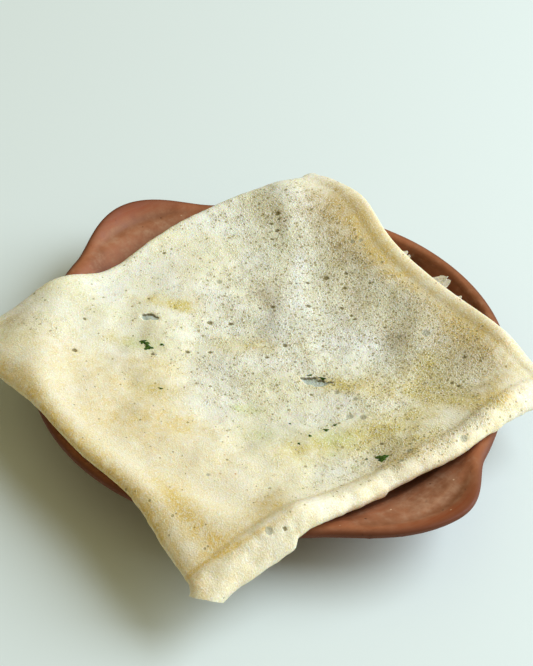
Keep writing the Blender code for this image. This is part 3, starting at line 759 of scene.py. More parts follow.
def make_lace(material):
    """Ragged bits that stand out of the far fold: strips that taper, wave and curl up.

    A strip's outline is its width times a taper, cut shorter where its noise is low; it
    leaves the fold along +y and its tip rises with the cube of the distance.
    """
    tops, bottoms = [], []
    across, along = LACE_GRID
    side, out = np.meshgrid(np.linspace(-0.5, 0.5, across), np.linspace(0.0, 1.0, along), indexing="ij")
    notch, notch_size, seed = LACE_NOTCHES
    for number, (middle, width, length, lean, curl) in enumerate(LACE_BITS):
        elsewhere = np.full_like(side, LACE_APART * number)
        ragged = (1.0 - notch) + notch * soft_noise(side * width, elsewhere, notch_size, seed)
        ragged = ragged * (1.0 - LACE_ROUNDED * np.abs(side) ** 3.0)
        u = middle + side * width * (1.0 - LACE_TAPER * out ** 2) + lean * out
        root = on_crepe(u, np.full_like(u, LACE_ROOT), np.zeros_like(u))
        wave = LACE_WAVE * out * np.sin(LACE_WAVES * side + number)
        lift = curl * out ** 3 + wave + layered_noise(u, out * length, LACE_FLUTTER)
        strip = root + np.stack([np.zeros_like(out), out * length * ragged, lift], -1)
        half = 0.5 * LACE_THICKNESS * (1.0 - LACE_THINS * out)
        thick = half[..., None] * np.array([0.0, 0.0, 1.0])
        tops.append(strip + thick)
        bottoms.append(strip - thick)
    points, faces = closed_sheets(tops, bottoms)
    flat = points[:, :2] - np.array(CENTRE)
    amounts = {name: np.zeros(len(points)) for name in (*TINTS, *MARK_NAMES)}
    amounts["white"] += LACE_WHITE
    piece = put_mesh("crepe_lace", material, points, faces, flat, amounts)
    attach(piece, "root")
    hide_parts("dosa")
    return piece


def herb_bit(number, middle_u, middle_v, long, wide, direction):
    """One bit's upper and lower points, as grids that run round it and from middle to outline.

    The outline is an oval with two sets of lobes, and the face a low dome with folds.
    """
    around = np.linspace(0.0, 2.0 * pi, HERB_TURNS + 1)[:-1]
    around, share = np.meshgrid(around, np.linspace(0.0, 1.0, HERB_RINGS + 1), indexing="ij")
    outline = 1.0
    for size, lobes, turn in HERB_LOBES:
        outline = outline + size * np.sin(lobes * around + turn * number)
    along = long * outline * share * np.cos(around)
    across = wide * outline * share * np.sin(around)
    angle = radians(direction)
    u = middle_u + along * cos(angle) - across * sin(angle)
    v = middle_v + along * sin(angle) + across * cos(angle)
    height, folds = HERB_FOLDS
    crumple = height * np.sin(folds * around + number) * share + layered_noise(u, v, HERB_CRUMPLE)
    dome = HERB_DOME * (1.0 - share ** 2)
    face = 0.5 * THICKNESS + crepe_lumps(u, v)
    top = on_crepe(u, v, face + HERB_PROUD + dome + crumple - HERB_DOME * share ** 4)
    return top, on_crepe(u, v, face - HERB_SUNK)


def make_herbs(material):
    """Small crumpled leaves sunk in the sheet's face, each closed by a border and an underside."""
    points, faces = [], []
    total = 0
    for number, herb in enumerate(HERBS):
        top, bottom = herb_bit(number, *herb)
        upper = turned_round(numbered(top.shape, total), (0,))
        lower = upper + top.shape[0] * top.shape[1]
        total += 2 * top.shape[0] * top.shape[1]
        faces += without_doubles(grid_quads(upper, True)) + without_doubles(grid_quads(lower, False))
        faces += grid_quads(np.stack([upper[:, -1], lower[:, -1]], -1), True).tolist()
        points += [top.reshape(-1, 3), bottom.reshape(-1, 3)]
    used, faces = used_vertices(faces)
    piece = put_mesh("herb_bits", material, np.concatenate(points)[used], faces)
    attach(piece, "root")
    return piece


# ---- the dish

def even_curve(knots, values, wanted):
    """A curve through the knots that never overshoots between them: cubic pieces whose slopes
    are the harmonic means of the neighbouring slopes, and flat at a turning point."""
    step = np.diff(knots)
    slope = np.diff(values) / step
    before, after = slope[:-1], slope[1:]
    agree = before * after > 0.0
    tangent = np.zeros(len(knots))
    total = np.where(agree, before + after, 1.0)
    tangent[1:-1] = np.where(agree, 2.0 * before * after / total, 0.0)
    tangent[0], tangent[-1] = slope[0], slope[-1]
    k = np.clip(np.searchsorted(knots, wanted) - 1, 0, len(step) - 1)
    t = (wanted - knots[k]) / step[k]
    return ((1 + 2 * t) * (1 - t) ** 2 * values[k] + t * (1 - t) ** 2 * step[k] * tangent[k]
            + t * t * (3 - 2 * t) * values[k + 1] + t * t * (t - 1) * step[k] * tangent[k + 1])


def dish_section(points):
    """The outline resampled, closest at the rim: radius, height, and distance along it from
    the rim's outermost line, which is negative outside the dish."""
    outline = np.array(OUTSIDE + RIM + INSIDE)
    knots = np.concatenate([[0.0], np.cumsum(np.hypot(*np.diff(outline, axis=0).T))])
    outermost, over_rim = knots[len(OUTSIDE) + 1], knots[len(OUTSIDE) + 2]
    fine = np.linspace(0.0, knots[-1], SECTION_STEPS)
    crowd = np.cumsum(1.0 + RIM_CROWDING * bell(fine, over_rim, CROWDING_WIDTH))
    wanted = np.interp(np.linspace(crowd[0], crowd[-1], points), crowd, fine)
    radius, height = (even_curve(knots, values, wanted) for values in outline.T)
    return radius, height, wanted - outermost


def waves_round(angle, waves):
    """The sum of whole waves round the dish."""
    return sum(cosine * np.cos(count * angle) + sine * np.sin(count * angle)
               for count, cosine, sine in waves)


def ears_at(angle):
    """How far the lip is drawn out, how far it rises and how much of an ear there is: rounded
    humps at each ear's middle, with a flare twice as wide beside them."""
    reach, lift, ear = np.zeros_like(angle), np.zeros_like(angle), np.zeros_like(angle)
    for middle, clockwise, anticlockwise, ear_reach, ear_lift in EARS:
        away = np.degrees((angle - radians(middle) + pi) % (2.0 * pi) - pi)
        share = np.abs(away) / np.where(away > 0.0, anticlockwise, clockwise)
        hump = np.cos(0.5 * pi * np.minimum(share, 1.0)) ** 2
        flare = np.cos(0.25 * pi * np.minimum(share, 2.0)) ** 2
        reach += ear_reach * hump + EAR_FLARE * flare * (1.0 - hump)
        lift += ear_lift * hump
        ear += hump
    return reach, lift, ear


def dish_unevenness(angle, length, radius, pits):
    """The hand's marks on the surface: slow unevenness of the rim, turning grooves and pits."""
    around_x, around_y = NOISE_CIRCLE * np.cos(angle), NOISE_CIRCLE * np.sin(angle)
    uneven = layered_noise(around_x, around_y, *UNEVENNESS) * rise(radius, *UNEVEN)
    grooves = sum(depth * soft_noise(length, around_x * drift_x + around_y * drift_y, width, seed)
                  for depth, drift_x, drift_y, width, seed in GROOVES)
    return grooves + uneven - PIT_DEPTH * smooth_step(pits * PIT_STEEPNESS)


def make_dish(settings, material):
    """The turned dish: its section carried round, its ears drawn out of the rim, and the hand's
    unevenness added: slow waves of the rim, faint turning grooves and small pits."""
    angle = np.linspace(-pi, pi, settings.dish_steps + 1)[:-1]
    section = dish_section(settings.dish_rings)
    angle, radius = np.meshgrid(angle, section[0], indexing="ij")
    height, length = (np.broadcast_to(part, radius.shape) for part in section[1:])
    reach, lift, ear = ears_at(angle)
    across_lip = np.clip((radius - LIP_FROM) / (RIM_RADIUS - LIP_FROM), 0.0, 1.0)
    outward = rise(radius, *PULLED) ** PULL_POWER
    wall = smooth_step((radius - WALL_FROM) / (RIM_RADIUS - WALL_FROM))
    top = rise(height, *RAISED)
    crease = ear * top * bell(across_lip, *CREASE)
    lip = lift * rise(across_lip, *LIP_RISES) - TROUGH_DEPTH * ear * bell(across_lip, *TROUGH)
    above = top * lip - CREASE_DEPTH * crease + waves_round(angle, RIM_RISES) * wall
    new_radius = radius + reach * outward + waves_round(angle, RIM_SWELLS) * wall
    x, y = new_radius * np.cos(angle), new_radius * np.sin(angle)
    pits = scattered_dots(x, y, *PITS) * rise(radius, *PITTED)
    uneven = dish_unevenness(angle, length, radius, pits) * rise(height, *OFF_FOOT)
    points = np.stack([x, y, height + above + uneven], -1)
    numbers = turned_round(numbered(points.shape), (0, -1))
    used, faces = used_vertices(without_doubles(grid_quads(numbers)))
    amounts = {
        # the ears' lighter hollows: dust, and painted light against the crepe's shadow
        "ear": ear * top,
        # the crease also darkens the clay's colour: painted shade
        "crease": crease,
        # painted shade on the outside and the rim's outer edge
        "under": smooth_step((PAINTED_SHADE_FROM - length) / PAINTED_SHADE_FADES_OVER),
        "flange": ear * top * rise(across_lip, *FLANGE),
        # the lighter edge band: wear with a painted highlight
        "edge": bell(across_lip, *WORN_AND_HIGHLIGHT) * top,
        "pits": pits,
    }
    amounts = {name: amount.ravel()[used] for name, amount in amounts.items()}
    piece = put_mesh("clay_dish", material, points.reshape(-1, 3)[used], faces, None, amounts)
    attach(piece, "root")
    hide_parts("plate")
    return piece


# ---- materials

# Noises of the materials: size in mm, detail, roughness
CREPE_NOISE = {"broad": (24.0, 3.0, 0.55), "patch": (6.0, 4.0, 0.65), "blotch": (2.6, 3.0, 0.6),
               "crumb": (1.5, 3.0, 0.65), "grain": (0.75, 2.0, 0.6)}
CLAY_NOISE = {"drift": (45.0, 1.0, 0.5), "streaks": (1.6, 3.0, 0.6), "broad_streaks": (6.0, 2.0, 0.5),
              "blotch": (24.0, 4.0, 0.6), "dust": (5.0, 4.0, 0.65), "grit": (0.5, 2.0, 0.6)}
DRIFT = 14.0                # how far the clay's turning streaks wander, in mm
HERB_RIDGES = (0.8, 2.0, 0.5)
HERB_GRAIN = (0.4, 2.0, 0.5)
FLOOR_CLOUDS = (400.0, 1.0, 0.5)
# Each tint's amount, its colour, and its strength where the patchy noise is low and high
TINT_STRENGTHS = (
    ("olive_and_painted_shade", "olive_and_painted_shade", 0.4, 1.1), ("tan", "tan", 0.35, 1.1), ("peach", "peach", 0.75, 1.0),
    ("gold_and_crease_shade", "gold_and_crease_shade", 0.35, 1.15), ("white", "pale", 0.7, 1.0), ("yellow", "yellow", 0.45, 1.20),
    ("green", "green", 0.6, 1.1),
)
# The foam's threads: share of the net's size, weight
THREAD_NETS = ((1.0, 1.0), (0.55, 0.6))
THREAD_WARP = 2.2           # size of the noise that bends the threads, in mm
# Fine pores: size of their cells in mm, smallest and largest radius as shares of it, and the
# share of cells that hold one in the spongiest parts, and elsewhere
PORE_CELLS = ((2.1, 0.14, 0.24, 0.70), (4.2, 0.10, 0.19, 0.80))
PORES_ELSEWHERE = 0.02
SPECK_CELLS = 3.6           # size of the cells of the clay's specks and pits, in mm


def linear(*screen):
    """A colour picked from 0 to 255 on a screen, as the shader's linear light."""
    shares = np.array(screen) / 255.0
    light = np.where(shares <= 0.04045, shares / 12.92, ((shares + 0.055) / 1.055) ** 2.4)
    return tuple(float(part) for part in light)


class Shader:
    """A new material's node tree, with one short call for each kind of node."""

    def __init__(self, name):
        self.material = bpy.data.materials.new(name)
        self.material.use_nodes = True
        self.tree = self.material.node_tree
        self.surface = self.tree.nodes["Principled BSDF"]

    def node(self, kind, inputs, **settings):
        """A node with its settings, and values or links for its inputs."""
        new = self.tree.nodes.new("ShaderNode" + kind)
        for key, value in settings.items():
            setattr(new, key, value)
        for key, value in inputs.items():
            self.feed(new.inputs[key], value)
        return new

    def feed(self, socket, value):
        """Link or set a socket; a colour of three parts is made opaque."""
        if isinstance(value, bpy.types.NodeSocket):
            self.tree.links.new(value, socket)
        elif socket.type == "RGBA" and len(value) == 3:
            socket.default_value = (*value, 1.0)
        else:
            socket.default_value = value

    def set(self, **inputs):
        """Link or set the surface shader's sockets."""
        for key, value in inputs.items():
            self.feed(self.surface.inputs[key.replace("_", " ")], value)

    def vector(self, operation, first, second):
        """Vector arithmetic; the second is a number where the operation is SCALE."""
        inputs = {0: first, "Scale" if operation == "SCALE" else 1: second}
        return self.node("VectorMath", inputs, operation=operation).outputs[0]

    def millimetres(self):
        """The place on the object."""
        return self.vector("SCALE", self.node("TexCoord", {}).outputs["Object"], 1.0 / MM)

    def flat_millimetres(self):
        """The place on the flat sheet, from the mesh's UV map."""
        return self.vector("SCALE", self.node("UVMap", {}, uv_map="flat").outputs[0], UV_SPAN)

    def amount(self, name):
        """An amount that the mesh carries."""
        return self.node("Attribute", {}, attribute_name=name).outputs["Fac"]

    def noise(self, place, size, detail, rough):
        """Soft noise from 0 to 1, with clouds of about this size in mm."""
        inputs = {"Vector": place, "Scale": 1.0 / size, "Detail": detail, "Roughness": rough}
        return self.node("TexNoise", inputs).outputs["Fac"]

    def cells(self, place, size, **settings):
        """Random cells: the distance to the nearest middle or edge, and a colour for each."""
        return self.node("TexVoronoi", {"Vector": place, "Scale": 1.0 / size}, **settings).outputs

    def warp(self, place, size, amount):
        """The place moved about by noise."""
        shift = self.node("TexNoise", {"Vector": place, "Scale": 1.0 / size}).outputs["Color"]
        shift = self.vector("SUBTRACT", shift, (0.5, 0.5, 0.5))
        return self.vector("ADD", place, self.vector("SCALE", shift, amount))

    def span(self, value, low, high, to_low=0.0, to_high=1.0, kind="SMOOTHSTEP"):
        """The value carried from one range to another and kept inside it."""
        inputs = {0: value, 1: low, 2: high, 3: to_low, 4: to_high}
        return self.node("MapRange", inputs, interpolation_type=kind).outputs[0]

    def math(self, operation, first, second=0.0):
        return self.node("Math", {0: first, 1: second}, operation=operation).outputs[0]

    def plus(self, first, second):
        return self.math("ADD", first, second)

    def times(self, first, second):
        return self.math("MULTIPLY", first, second)

    def larger(self, first, second):
        return self.math("MAXIMUM", first, second)

    def blend(self, amount, first, second):
        """The first colour where the amount is 0, the second where it is 1.

        The Mix node's inputs 6 and 7 and its output 2 are those for colours.
        """
        return self.node("Mix", {0: amount, 6: first, 7: second}, data_type="RGBA").outputs[2]

    def layered(self, colour, *layers):
        """A colour with others blended over it in turn, each given by its amount and colour."""
        for amount, over in layers:
            colour = self.blend(amount, colour, over)
        return colour

    def bump(self, height, depth, strength):
        """Fine relief: the height's depth in mm."""
        inputs = {"Height": height, "Distance": depth * MM, "Strength": strength}
        return self.node("Bump", inputs).outputs[0]


def tinted_sheet(s, settings, flat, patch):
    """White and cream in broad patches, with the tints that the mesh carries, some of them partly
    painted light or shade.
    """
    broad = s.noise(flat, *CREPE_NOISE["broad"])
    colour = s.blend(s.span(broad, 0.35, 0.65), settings.white, settings.cream)
    for name, tint, low, high in TINT_STRENGTHS:
        share = s.times(s.amount(name), s.span(patch, 0.3, 0.65, low, high))
        colour = s.blend(s.math("MINIMUM", share, 1.0), colour, getattr(settings, tint))
    return colour


def foam_threads(s, settings, flat):
    """The net of fine threads: 1 along the borders of warped cells in two sizes."""
    warped = s.warp(flat, THREAD_WARP, settings.net_warp)
    thread = 0.0
    for share, weight in THREAD_NETS:
        edge = s.cells(warped, settings.net_size * share, voronoi_dimensions="2D",
                       feature="DISTANCE_TO_EDGE")
        near = s.span(edge["Distance"], 0.02, 0.20, 1.0, 0.0)
        thread = s.larger(thread, s.times(near, weight))
    return thread


def foam_colour(s, settings, colour, thread, spongy, noises):
    """Darker gaps between the threads, opened by the sponginess, and bright threads."""
    gap = s.times(s.span(thread, 0.1, 0.75, 1.0, 0.0), s.span(noises["blotch"], 0.4, 0.6, 0.3, 1.0))
    gap = s.times(gap, s.span(noises["patch"], 0.35, 0.62, 0.45, 1.1))
    open_net = s.span(spongy, 0.0, 1.0, settings.net_closed, settings.net_open)
    colour = s.blend(s.times(gap, open_net), colour, settings.gap)
    bright = s.times(s.span(thread, 0.5, 1.0), s.span(noises["grain"], 0.4, 0.65, 0.1, 1.0))
    return s.blend(s.times(bright, s.span(spongy, 0.0, 1.0, 0.4, 0.9)), colour, settings.bright)


def fine_pores(s, flat, spongy):
    """1 in the fine pores: round, of uneven size, and more of them where it is spongy."""
    pores = 0.0
    for size, least, most, common in PORE_CELLS:
        cell = s.cells(flat, size, voronoi_dimensions="2D")
        pick = s.node("SeparateColor", {0: cell["Color"]}).outputs
        radius = s.span(pick[1], 0.0, 1.0, least, most, "LINEAR")
        chance = s.span(spongy, 0.0, 1.0, PORES_ELSEWHERE, common, "LINEAR")
        inside = s.span(s.math("DIVIDE", cell["Distance"], radius), 0.75, 1.1, 1.0, 0.0)
        pores = s.larger(pores, s.times(inside, s.math("LESS_THAN", pick[0], chance)))
    return pores


def marked_sheet(s, settings, colour, pores, patch):
    """The pores, amber specks and torn patches over the sheet's colour."""
    skin = s.blend(s.span(patch, 0.35, 0.65), settings.skin, settings.skin_light)
    return s.layered(
        colour,
        (s.times(pores, settings.pore_darkness), settings.pore),
        (s.times(s.span(s.amount("shallow"), 0.1, 0.6), 0.75), settings.shallow_pore),
        (s.times(s.span(s.amount("deep"), 0.1, 0.55), 0.85), settings.deep_pore),
        (s.times(s.span(s.amount("amber"), 0.3, 0.9), 0.8), settings.amber),
        (s.span(s.amount("torn"), 0.35, 0.8), skin),
        # painted shadow along the far border of each torn patch
        (s.span(s.amount("rim"), 0.2, 0.75, 0.0, 0.9), settings.rim),
    )


def crepe_material(settings):
    """Cooked rice batter: off-white foam with golden, brown and greyish tints, partly painted shade
    in the folds' creases and on slopes that face away from the light, and whiter patches, partly
    painted light.

    A net of fine bright threads lies over darker gaps, wide open in the spongy parts and
    nearly closed elsewhere; round pores of two sizes, amber specks, green halos and the thin
    bluish skin of the torn patches, with a painted shadow along their far borders, lie over it.
    """
    s = Shader("neer_dosa_crepe")
    flat = s.flat_millimetres()
    noises = {name: s.noise(flat, *CREPE_NOISE[name]) for name in ("patch", "blotch", "crumb", "grain")}
    patch, crumb, grain = noises["patch"], noises["crumb"], noises["grain"]
    spongy = s.plus(s.amount("spongy"), s.span(patch, 0.35, 0.65, -0.3, 0.3))
    spongy = s.math("MINIMUM", s.larger(spongy, 0.0), 1.0)
    thread = foam_threads(s, settings, flat)
    pores = fine_pores(s, flat, spongy)
    colour = tinted_sheet(s, settings, flat, patch)
    colour = s.blend(s.span(crumb, 0.45, 0.68, 0.0, 0.55), colour, settings.bright)
    colour = foam_colour(s, settings, colour, thread, spongy, noises)
    colour = marked_sheet(s, settings, colour, pores, patch)
    fine = s.plus(s.times(crumb, s.span(spongy, 0.0, 1.0, 0.45, 1.2)), s.times(grain, 0.5))
    height = s.plus(s.times(thread, s.span(spongy, 0.0, 1.0, 0.12, 0.7)), fine)
    height = s.math("SUBTRACT", height, s.times(pores, 0.5))
    s.set(Base_Color=colour, Roughness=s.span(grain, 0.3, 0.7, 0.6, 0.45),
          Normal=s.bump(height, 0.40, 0.9))
    s.set(Subsurface_Weight=0.4, Subsurface_Radius=(1.0, 0.72, 0.32), Subsurface_Scale=0.0025)
    return s.material


def herb_material(settings):
    """Dark green leaf, lighter on its crumpled ridges."""
    s = Shader("green_herb")
    place = s.millimetres()
    ridges = s.span(s.noise(place, *HERB_RIDGES), 0.35, 0.7)
    s.set(Base_Color=s.blend(ridges, settings.leaf, settings.leaf_light), Roughness=0.5,
          Normal=s.bump(s.noise(place, *HERB_GRAIN), 0.15, 0.6), Specular_IOR_Level=0.2)
    return s.material


def clay_material(settings):
    """Unglazed fired clay: red-brown with paler dusty patches, faint turning streaks that run
    round the dish, dark pits and pale specks.  Edges are worn to a lighter orange with a painted
    highlight, the ears' hollows are lighter with dust and painted light, and painted shade lies
    in the ears' creases and on the outside."""
    s = Shader("terracotta_clay")
    place = s.millimetres()
    x, y, z = s.node("SeparateXYZ", {0: place}).outputs
    ring = s.math("SQRT", s.plus(s.math("POWER", x, 2.0), s.math("POWER", y, 2.0)))
    drift = s.times(s.noise(place, *CLAY_NOISE["drift"]), DRIFT)
    rings = s.node("CombineXYZ", {0: s.plus(ring, drift), 1: z, 2: 0.0}).outputs[0]
    streaks, broad_streaks = (s.noise(rings, *CLAY_NOISE[name]) for name in ("streaks", "broad_streaks"))
    blotch, dust, grit = (s.noise(place, *CLAY_NOISE[name]) for name in ("blotch", "dust", "grit"))
    cell = s.cells(place, SPECK_CELLS)
    distance = cell["Distance"]
    pick = s.node("SeparateColor", {0: cell["Color"]}).outputs
    speck = s.times(s.span(distance, 0.16, 0.06), s.span(pick[0], 0.92, 0.95))
    pit = s.times(s.span(distance, 0.2, 0.08), s.span(pick[1], 0.84, 0.9))
    pit = s.larger(pit, s.span(s.amount("pits"), 0.2, 0.8, 0.0, 0.5))
    colour = s.layered(
        settings.clay,
        (s.span(blotch, 0.35, 0.65), settings.clay_dark),
        (s.span(dust, 0.5, 0.75, 0.0, 0.45), settings.clay_dust),
        (s.span(streaks, 0.5, 0.75, 0.0, 0.35), settings.clay_light),
        (s.span(broad_streaks, 0.5, 0.2, 0.0, 0.35), settings.clay_dark),
        # worn edges with a painted highlight on the rim and the ears' lips
        (s.times(s.amount("edge"), s.span(dust, 0.3, 0.6, 0.1, 0.4)), settings.clay_light),
        # dusty hollows in the ears, partly painted light against the crepe's cast shadow
        (s.times(s.amount("ear"), s.span(dust, 0.3, 0.7, 0.15, 0.65)), settings.clay_hollow_dust_and_light),
        (s.times(s.amount("flange"), s.span(streaks, 0.3, 0.7, 0.7, 1.0)), settings.clay_flange),
        # painted shade in the pressed crease between an ear's hollow and its lip
        (s.times(s.amount("crease"), 0.6), settings.clay_dark),
        # painted shade on the outside and the rim's outer edge
        (s.times(s.amount("under"), 0.9), settings.clay_painted_shade),
        (speck, settings.clay_speck),
        (s.times(pit, 0.7), settings.clay_pit),
    )
    height = s.plus(s.times(streaks, 0.7), s.times(grit, 0.5))
    height = s.math("SUBTRACT", height, s.times(pit, 1.2))
    s.set(Base_Color=colour, Roughness=s.span(dust, 0.3, 0.7, 0.5, 0.7),
          Normal=s.bump(height, 0.16, 0.5), Specular_IOR_Level=0.25)
    return s.material


def floor_material(settings):
    """Plain pale table top with a faint satin finish."""
    s = Shader("pale_floor")
    clouds = s.span(s.noise(s.millimetres(), *FLOOR_CLOUDS), 0.3, 0.7, 0.0, 0.04)
    s.set(Base_Color=s.blend(clouds, settings.floor, settings.floor_cloud), Roughness=0.5)
    return s.material


# ---- stage

SENSOR_WIDTH = 36.0         # millimetres
FOCAL_PIXELS = 1888.0       # focal length in the photograph's pixels
LONG_SIDE_PIXELS = 666      # the photograph's height
LIGHT_AIM = Vector((0.0, 0.0, 0.03))    # the window light faces this point


def make_stage(settings):
    """A pale floor, one soft window light from the right, and soft light from all round."""
    scene = bpy.context.scene
    bpy.ops.mesh.primitive_plane_add(size=settings.floor_size)
    floor = bpy.context.object
    floor.name = "floor"
    floor.data.materials.append(floor_material(settings))
    azimuth = radians(settings.azimuth)
    right = Vector((cos(azimuth), sin(azimuth), 0.0))
    away = Vector((-sin(azimuth), cos(azimuth), 0.0))
    window = bpy.data.lights.new("window", "AREA")
    window.shape = "RECTANGLE"
    window.size, window.size_y = settings.window_size
    window.energy = settings.window_power
    window.color = settings.window_colour
    light = bpy.data.objects.new("window", window)
    across, back, up = settings.window_place
    light.location = right * across + away * back + Vector((0.0, 0.0, up))
    light.rotation_euler = (light.location - LIGHT_AIM).to_track_quat("Z", "Y").to_euler()
    scene.collection.objects.link(light)
    world = bpy.data.worlds.new("soft_room")
    world.use_nodes = True
    sky = world.node_tree.nodes["Background"]
    sky.inputs["Color"].default_value = (*settings.room_colour, 1.0)
    sky.inputs["Strength"].default_value = settings.room_light
    scene.world = world
    scene.view_settings.view_transform = "Standard"


def make_camera(settings):
    """A camera at the photograph's viewing angle, looking down at the middle of the dish."""
    azimuth, elevation = radians(settings.azimuth), radians(settings.elevation)
    back = Vector((sin(azimuth) * cos(elevation), -cos(azimuth) * cos(elevation), sin(elevation)))
    lens = bpy.data.cameras.new("camera")
    lens.sensor_width = SENSOR_WIDTH
    lens.lens = FOCAL_PIXELS * SENSOR_WIDTH / LONG_SIDE_PIXELS
    lens.clip_start = 0.01
    camera = bpy.data.objects.new("camera", lens)
    camera.location = Vector(settings.aim) + back * settings.distance
    camera.rotation_euler = back.to_track_quat("Z", "Y").to_euler()
    bpy.context.scene.collection.objects.link(camera)
    bpy.context.scene.camera = camera


# ---- settings

def light_colour(name, description, *parts):
    """A colour setting, given in linear light from 0 to 1."""
    return FloatVectorProperty(name=name, description=description, default=parts, size=3,
                               subtype="COLOR", min=0.0, max=1.0)


def screen_colour(name, description, *screen):
    """A colour setting, given from 0 to 255 as picked on a screen."""
    return light_colour(name, description, *linear(*screen))


class CrepeSettings(bpy.types.PropertyGroup):
    """Fineness and colours of the crepe and its herbs."""

    crepe_lines: IntProperty(name="Lines", description="Mesh lines across the parcel's face",
                             default=257, min=33, max=281)
    flap_rows: IntProperty(name="Flap rows", description="Mesh rows on each folded side",
                           default=20, min=8, max=40)
    inner_skip: IntProperty(name="Inner step", description="Outer mesh lines to one inner line",
                            default=4, min=1, max=8)
    pore_darkness: FloatProperty(name="Pore darkness", description="How dark the fine pores are",
                                 default=0.65, min=0.0, max=1.0, subtype="FACTOR")
    net_size: FloatProperty(name="Net size", description="Width of the foam's larger cells, in mm",
                            default=1.5, min=0.5, max=6.0)
    net_warp: FloatProperty(name="Net warp", description="How far the foam's threads wander, in mm",
                            default=2.0, min=0.0, max=6.0)
    net_open: FloatProperty(name="Open net", description="How far the gaps show in spongy parts",
                            default=0.75, min=0.0, max=1.0, subtype="FACTOR")
    net_closed: FloatProperty(name="Closed net", description="How far the gaps show elsewhere",
                              default=0.32, min=0.0, max=1.0, subtype="FACTOR")
    white: screen_colour("White", "The sheet's main colour", 242, 236, 216)
    cream: screen_colour("Cream", "Its warmer patches", 241, 231, 194)
    # the colour of the white tint: whiter patches, partly painted light
    pale: screen_colour("Pale", "Its whitest patches", 246, 243, 234)
    bright: screen_colour("Bright crumb", "The finest bright crumb", 252, 247, 234)
    gap: screen_colour("Gap", "Between the foam's threads", 190, 170, 110)
    peach: screen_colour("Peach", "The warm near half and the far roll", 252, 228, 182)
    # golden patches, and painted shade in the folds' creases
    gold_and_crease_shade: screen_colour("Gold", "Golden patches and creases", 233, 199, 112)
    yellow: screen_colour("Yellow", "Yellow patches in the spongy parts", 216, 194, 98)
    # olive-grey patches, and painted shade in shaded hollows and corners
    olive_and_painted_shade: screen_colour("Olive", "Olive-grey patches", 206, 204, 148)
    # browner patches, and painted shade on slopes that face away from the light
    tan: screen_colour("Tan", "Browner, thinner patches", 186, 160, 100)
    green: screen_colour("Green halo", "Round the herbs and green specks", 206, 210, 134)
    pore: screen_colour("Fine pore", "The bottom of the fine pores", 140, 122, 54)
    deep_pore: screen_colour("Deep pore", "The bottom of the deep pores", 124, 108, 46)
    shallow_pore: screen_colour("Shallow pore", "The shallow pores", 176, 172, 142)
    amber: screen_colour("Amber", "Small amber specks", 206, 142, 58)
    skin: screen_colour("Thin skin", "The skin left in a torn patch", 172, 178, 160)
    skin_light: screen_colour("Pale skin", "Its paler parts", 206, 210, 194)
    # the painted shadow along a torn patch's far border
    rim: screen_colour("Browned rim", "The far border of a torn patch", 96, 82, 34)
    leaf: screen_colour("Leaf", "The herb's dark green", 34, 62, 14)
    leaf_light: screen_colour("Leaf ridge", "The herb's lighter ridges", 84, 112, 36)


class DishSettings(bpy.types.PropertyGroup):
    """Fineness and colours of the clay dish."""

    dish_rings: IntProperty(name="Rings", description="Mesh rings from the foot to the inside's middle",
                            default=130, min=24, max=200)
    dish_steps: IntProperty(name="Steps", description="Mesh steps round the dish",
                            default=400, min=48, max=600)
    clay: screen_colour("Clay", "The dish's main colour", 158, 94, 60)
    # also the painted shade in the ears' creases
    clay_dark: screen_colour("Dark clay", "Redder, darker clay", 124, 72, 42)
    # dust, and painted light in the ears' hollows
    clay_hollow_dust_and_light: screen_colour("Ear hollow", "Dusty clay in the ears' hollows", 178, 134, 102)
    clay_flange: screen_colour("Flange", "The ears' raised lips", 152, 76, 38)
    # painted shade on the outside and the rim's outer edge
    clay_painted_shade: screen_colour("Underside", "The outside, in smoked clay", 100, 52, 30)
    clay_dust: screen_colour("Dusty clay", "Pale dusty patches", 170, 132, 104)
    # streaks, and the lighter edge band: wear with a painted highlight
    clay_light: screen_colour("Worn clay", "Streaks and worn edges", 180, 116, 74)
    clay_speck: screen_colour("Speck", "Pale specks", 214, 180, 146)
    clay_pit: screen_colour("Pit", "Dark pits", 70, 36, 20)


class StageSettings(bpy.types.PropertyGroup):
    """The floor, the lights and the camera."""

    azimuth: FloatProperty(name="Azimuth", description="Turn of the camera round the dish, in degrees",
                           default=54.0)
    elevation: FloatProperty(name="Elevation", description="Angle of the camera over the table, in degrees",
                             default=43.517)
    distance: FloatProperty(name="Distance", description="From the camera to its aim",
                            default=0.87927, unit="LENGTH")
    aim: FloatVectorProperty(name="Aim", description="The point that the camera looks at", size=3,
                             default=(-0.01271, 0.00658, 0.030), subtype="TRANSLATION")
    floor_size: FloatProperty(name="Floor size", description="Side of the square floor",
                              default=6.0, unit="LENGTH")
    floor: screen_colour("Floor", "The pale table top", 228, 236, 232)
    floor_cloud: light_colour("Floor cloud", "Its faint greyer parts", 0.6, 0.6, 0.6)
    window_size: FloatVectorProperty(name="Window size", description="Width and height of the window light",
                                     size=2, default=(1.8, 1.8))
    window_place: FloatVectorProperty(name="Window place", size=3, default=(1.70, 0.18, 1.38),
                                      description="Right of, beyond and over the dish, in metres")
    window_power: FloatProperty(name="Window power", description="Power of the window light",
                                default=79.0, unit="POWER")
    window_colour: light_colour("Window colour", "Colour of the window light", 0.78, 0.88, 1.0)
    room_colour: light_colour("Room colour", "Colour of the light from all round", 1.0, 0.90, 0.50)
    room_light: FloatProperty(name="Room light", description="Strength of the light from all round",
                              default=0.30, min=0.0)


# ---- operators

class NEERDOSA_OT_crepe(bpy.types.Operator):
    """Make the folded crepe with its lace"""

    bl_idname = "neer_dosa.crepe"
    bl_label = "Crepe"

    def execute(self, context):
        settings = context.scene.neer_dosa_crepe
        material = crepe_material(settings)
        make_crepe(settings, material)
        make_lace(material)
        return {"FINISHED"}


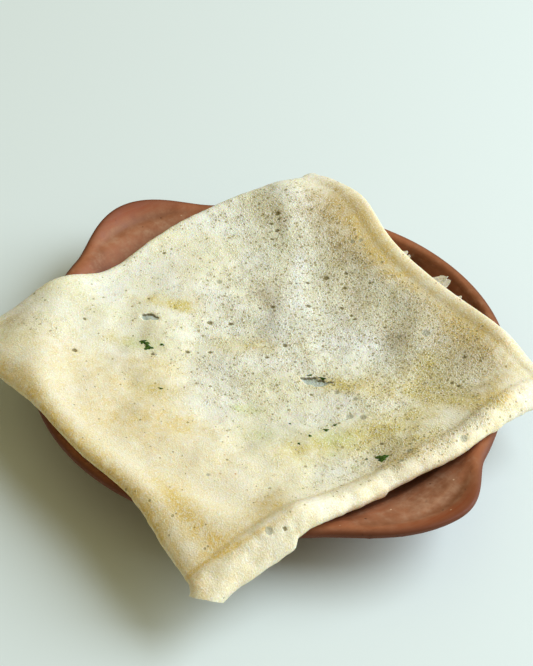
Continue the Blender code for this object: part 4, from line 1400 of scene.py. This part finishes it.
class NEERDOSA_OT_herbs(bpy.types.Operator):
    """Make the bits of green herb"""

    bl_idname = "neer_dosa.herbs"
    bl_label = "Herbs"

    def execute(self, context):
        make_herbs(herb_material(context.scene.neer_dosa_crepe))
        return {"FINISHED"}


class NEERDOSA_OT_dish(bpy.types.Operator):
    """Make the clay dish with its two ears"""

    bl_idname = "neer_dosa.dish"
    bl_label = "Dish"

    def execute(self, context):
        settings = context.scene.neer_dosa_dish
        make_dish(settings, clay_material(settings))
        return {"FINISHED"}


class NEERDOSA_OT_stage(bpy.types.Operator):
    """Make the floor, the lights and the camera"""

    bl_idname = "neer_dosa.stage"
    bl_label = "Stage"

    def execute(self, context):
        settings = context.scene.neer_dosa_stage
        make_stage(settings)
        make_camera(settings)
        return {"FINISHED"}


class NEERDOSA_PT_panel(bpy.types.Panel):
    """Lists the pieces and the stage"""

    bl_idname = "NEERDOSA_PT_panel"
    bl_label = "Neer dosa"
    bl_space_type = "VIEW_3D"
    bl_region_type = "UI"
    bl_category = "Neer dosa"

    def draw(self, context):
        for operator in OPERATORS:
            self.layout.operator(operator.bl_idname)
        for group in GROUPS:
            settings = getattr(context.scene, group)
            box = self.layout.box()
            for name in settings.__annotations__:
                box.prop(settings, name)


OPERATORS = (NEERDOSA_OT_crepe, NEERDOSA_OT_herbs, NEERDOSA_OT_dish, NEERDOSA_OT_stage)
GROUPS = {
    "neer_dosa_crepe": CrepeSettings,
    "neer_dosa_dish": DishSettings,
    "neer_dosa_stage": StageSettings,
}


def register():
    for name, group in GROUPS.items():
        bpy.utils.register_class(group)
        setattr(bpy.types.Scene, name, PointerProperty(type=group))
    for operator in OPERATORS:
        bpy.utils.register_class(operator)
    bpy.utils.register_class(NEERDOSA_PT_panel)


def unregister():
    bpy.utils.unregister_class(NEERDOSA_PT_panel)
    for operator in reversed(OPERATORS):
        bpy.utils.unregister_class(operator)
    for name, group in reversed(GROUPS.items()):
        delattr(bpy.types.Scene, name)
        bpy.utils.unregister_class(group)


def main():
    register()
    bpy.ops.neer_dosa.crepe()
    bpy.ops.neer_dosa.herbs()
    bpy.ops.neer_dosa.dish()
    bpy.ops.neer_dosa.stage()


if __name__ == "__main__":
    main()
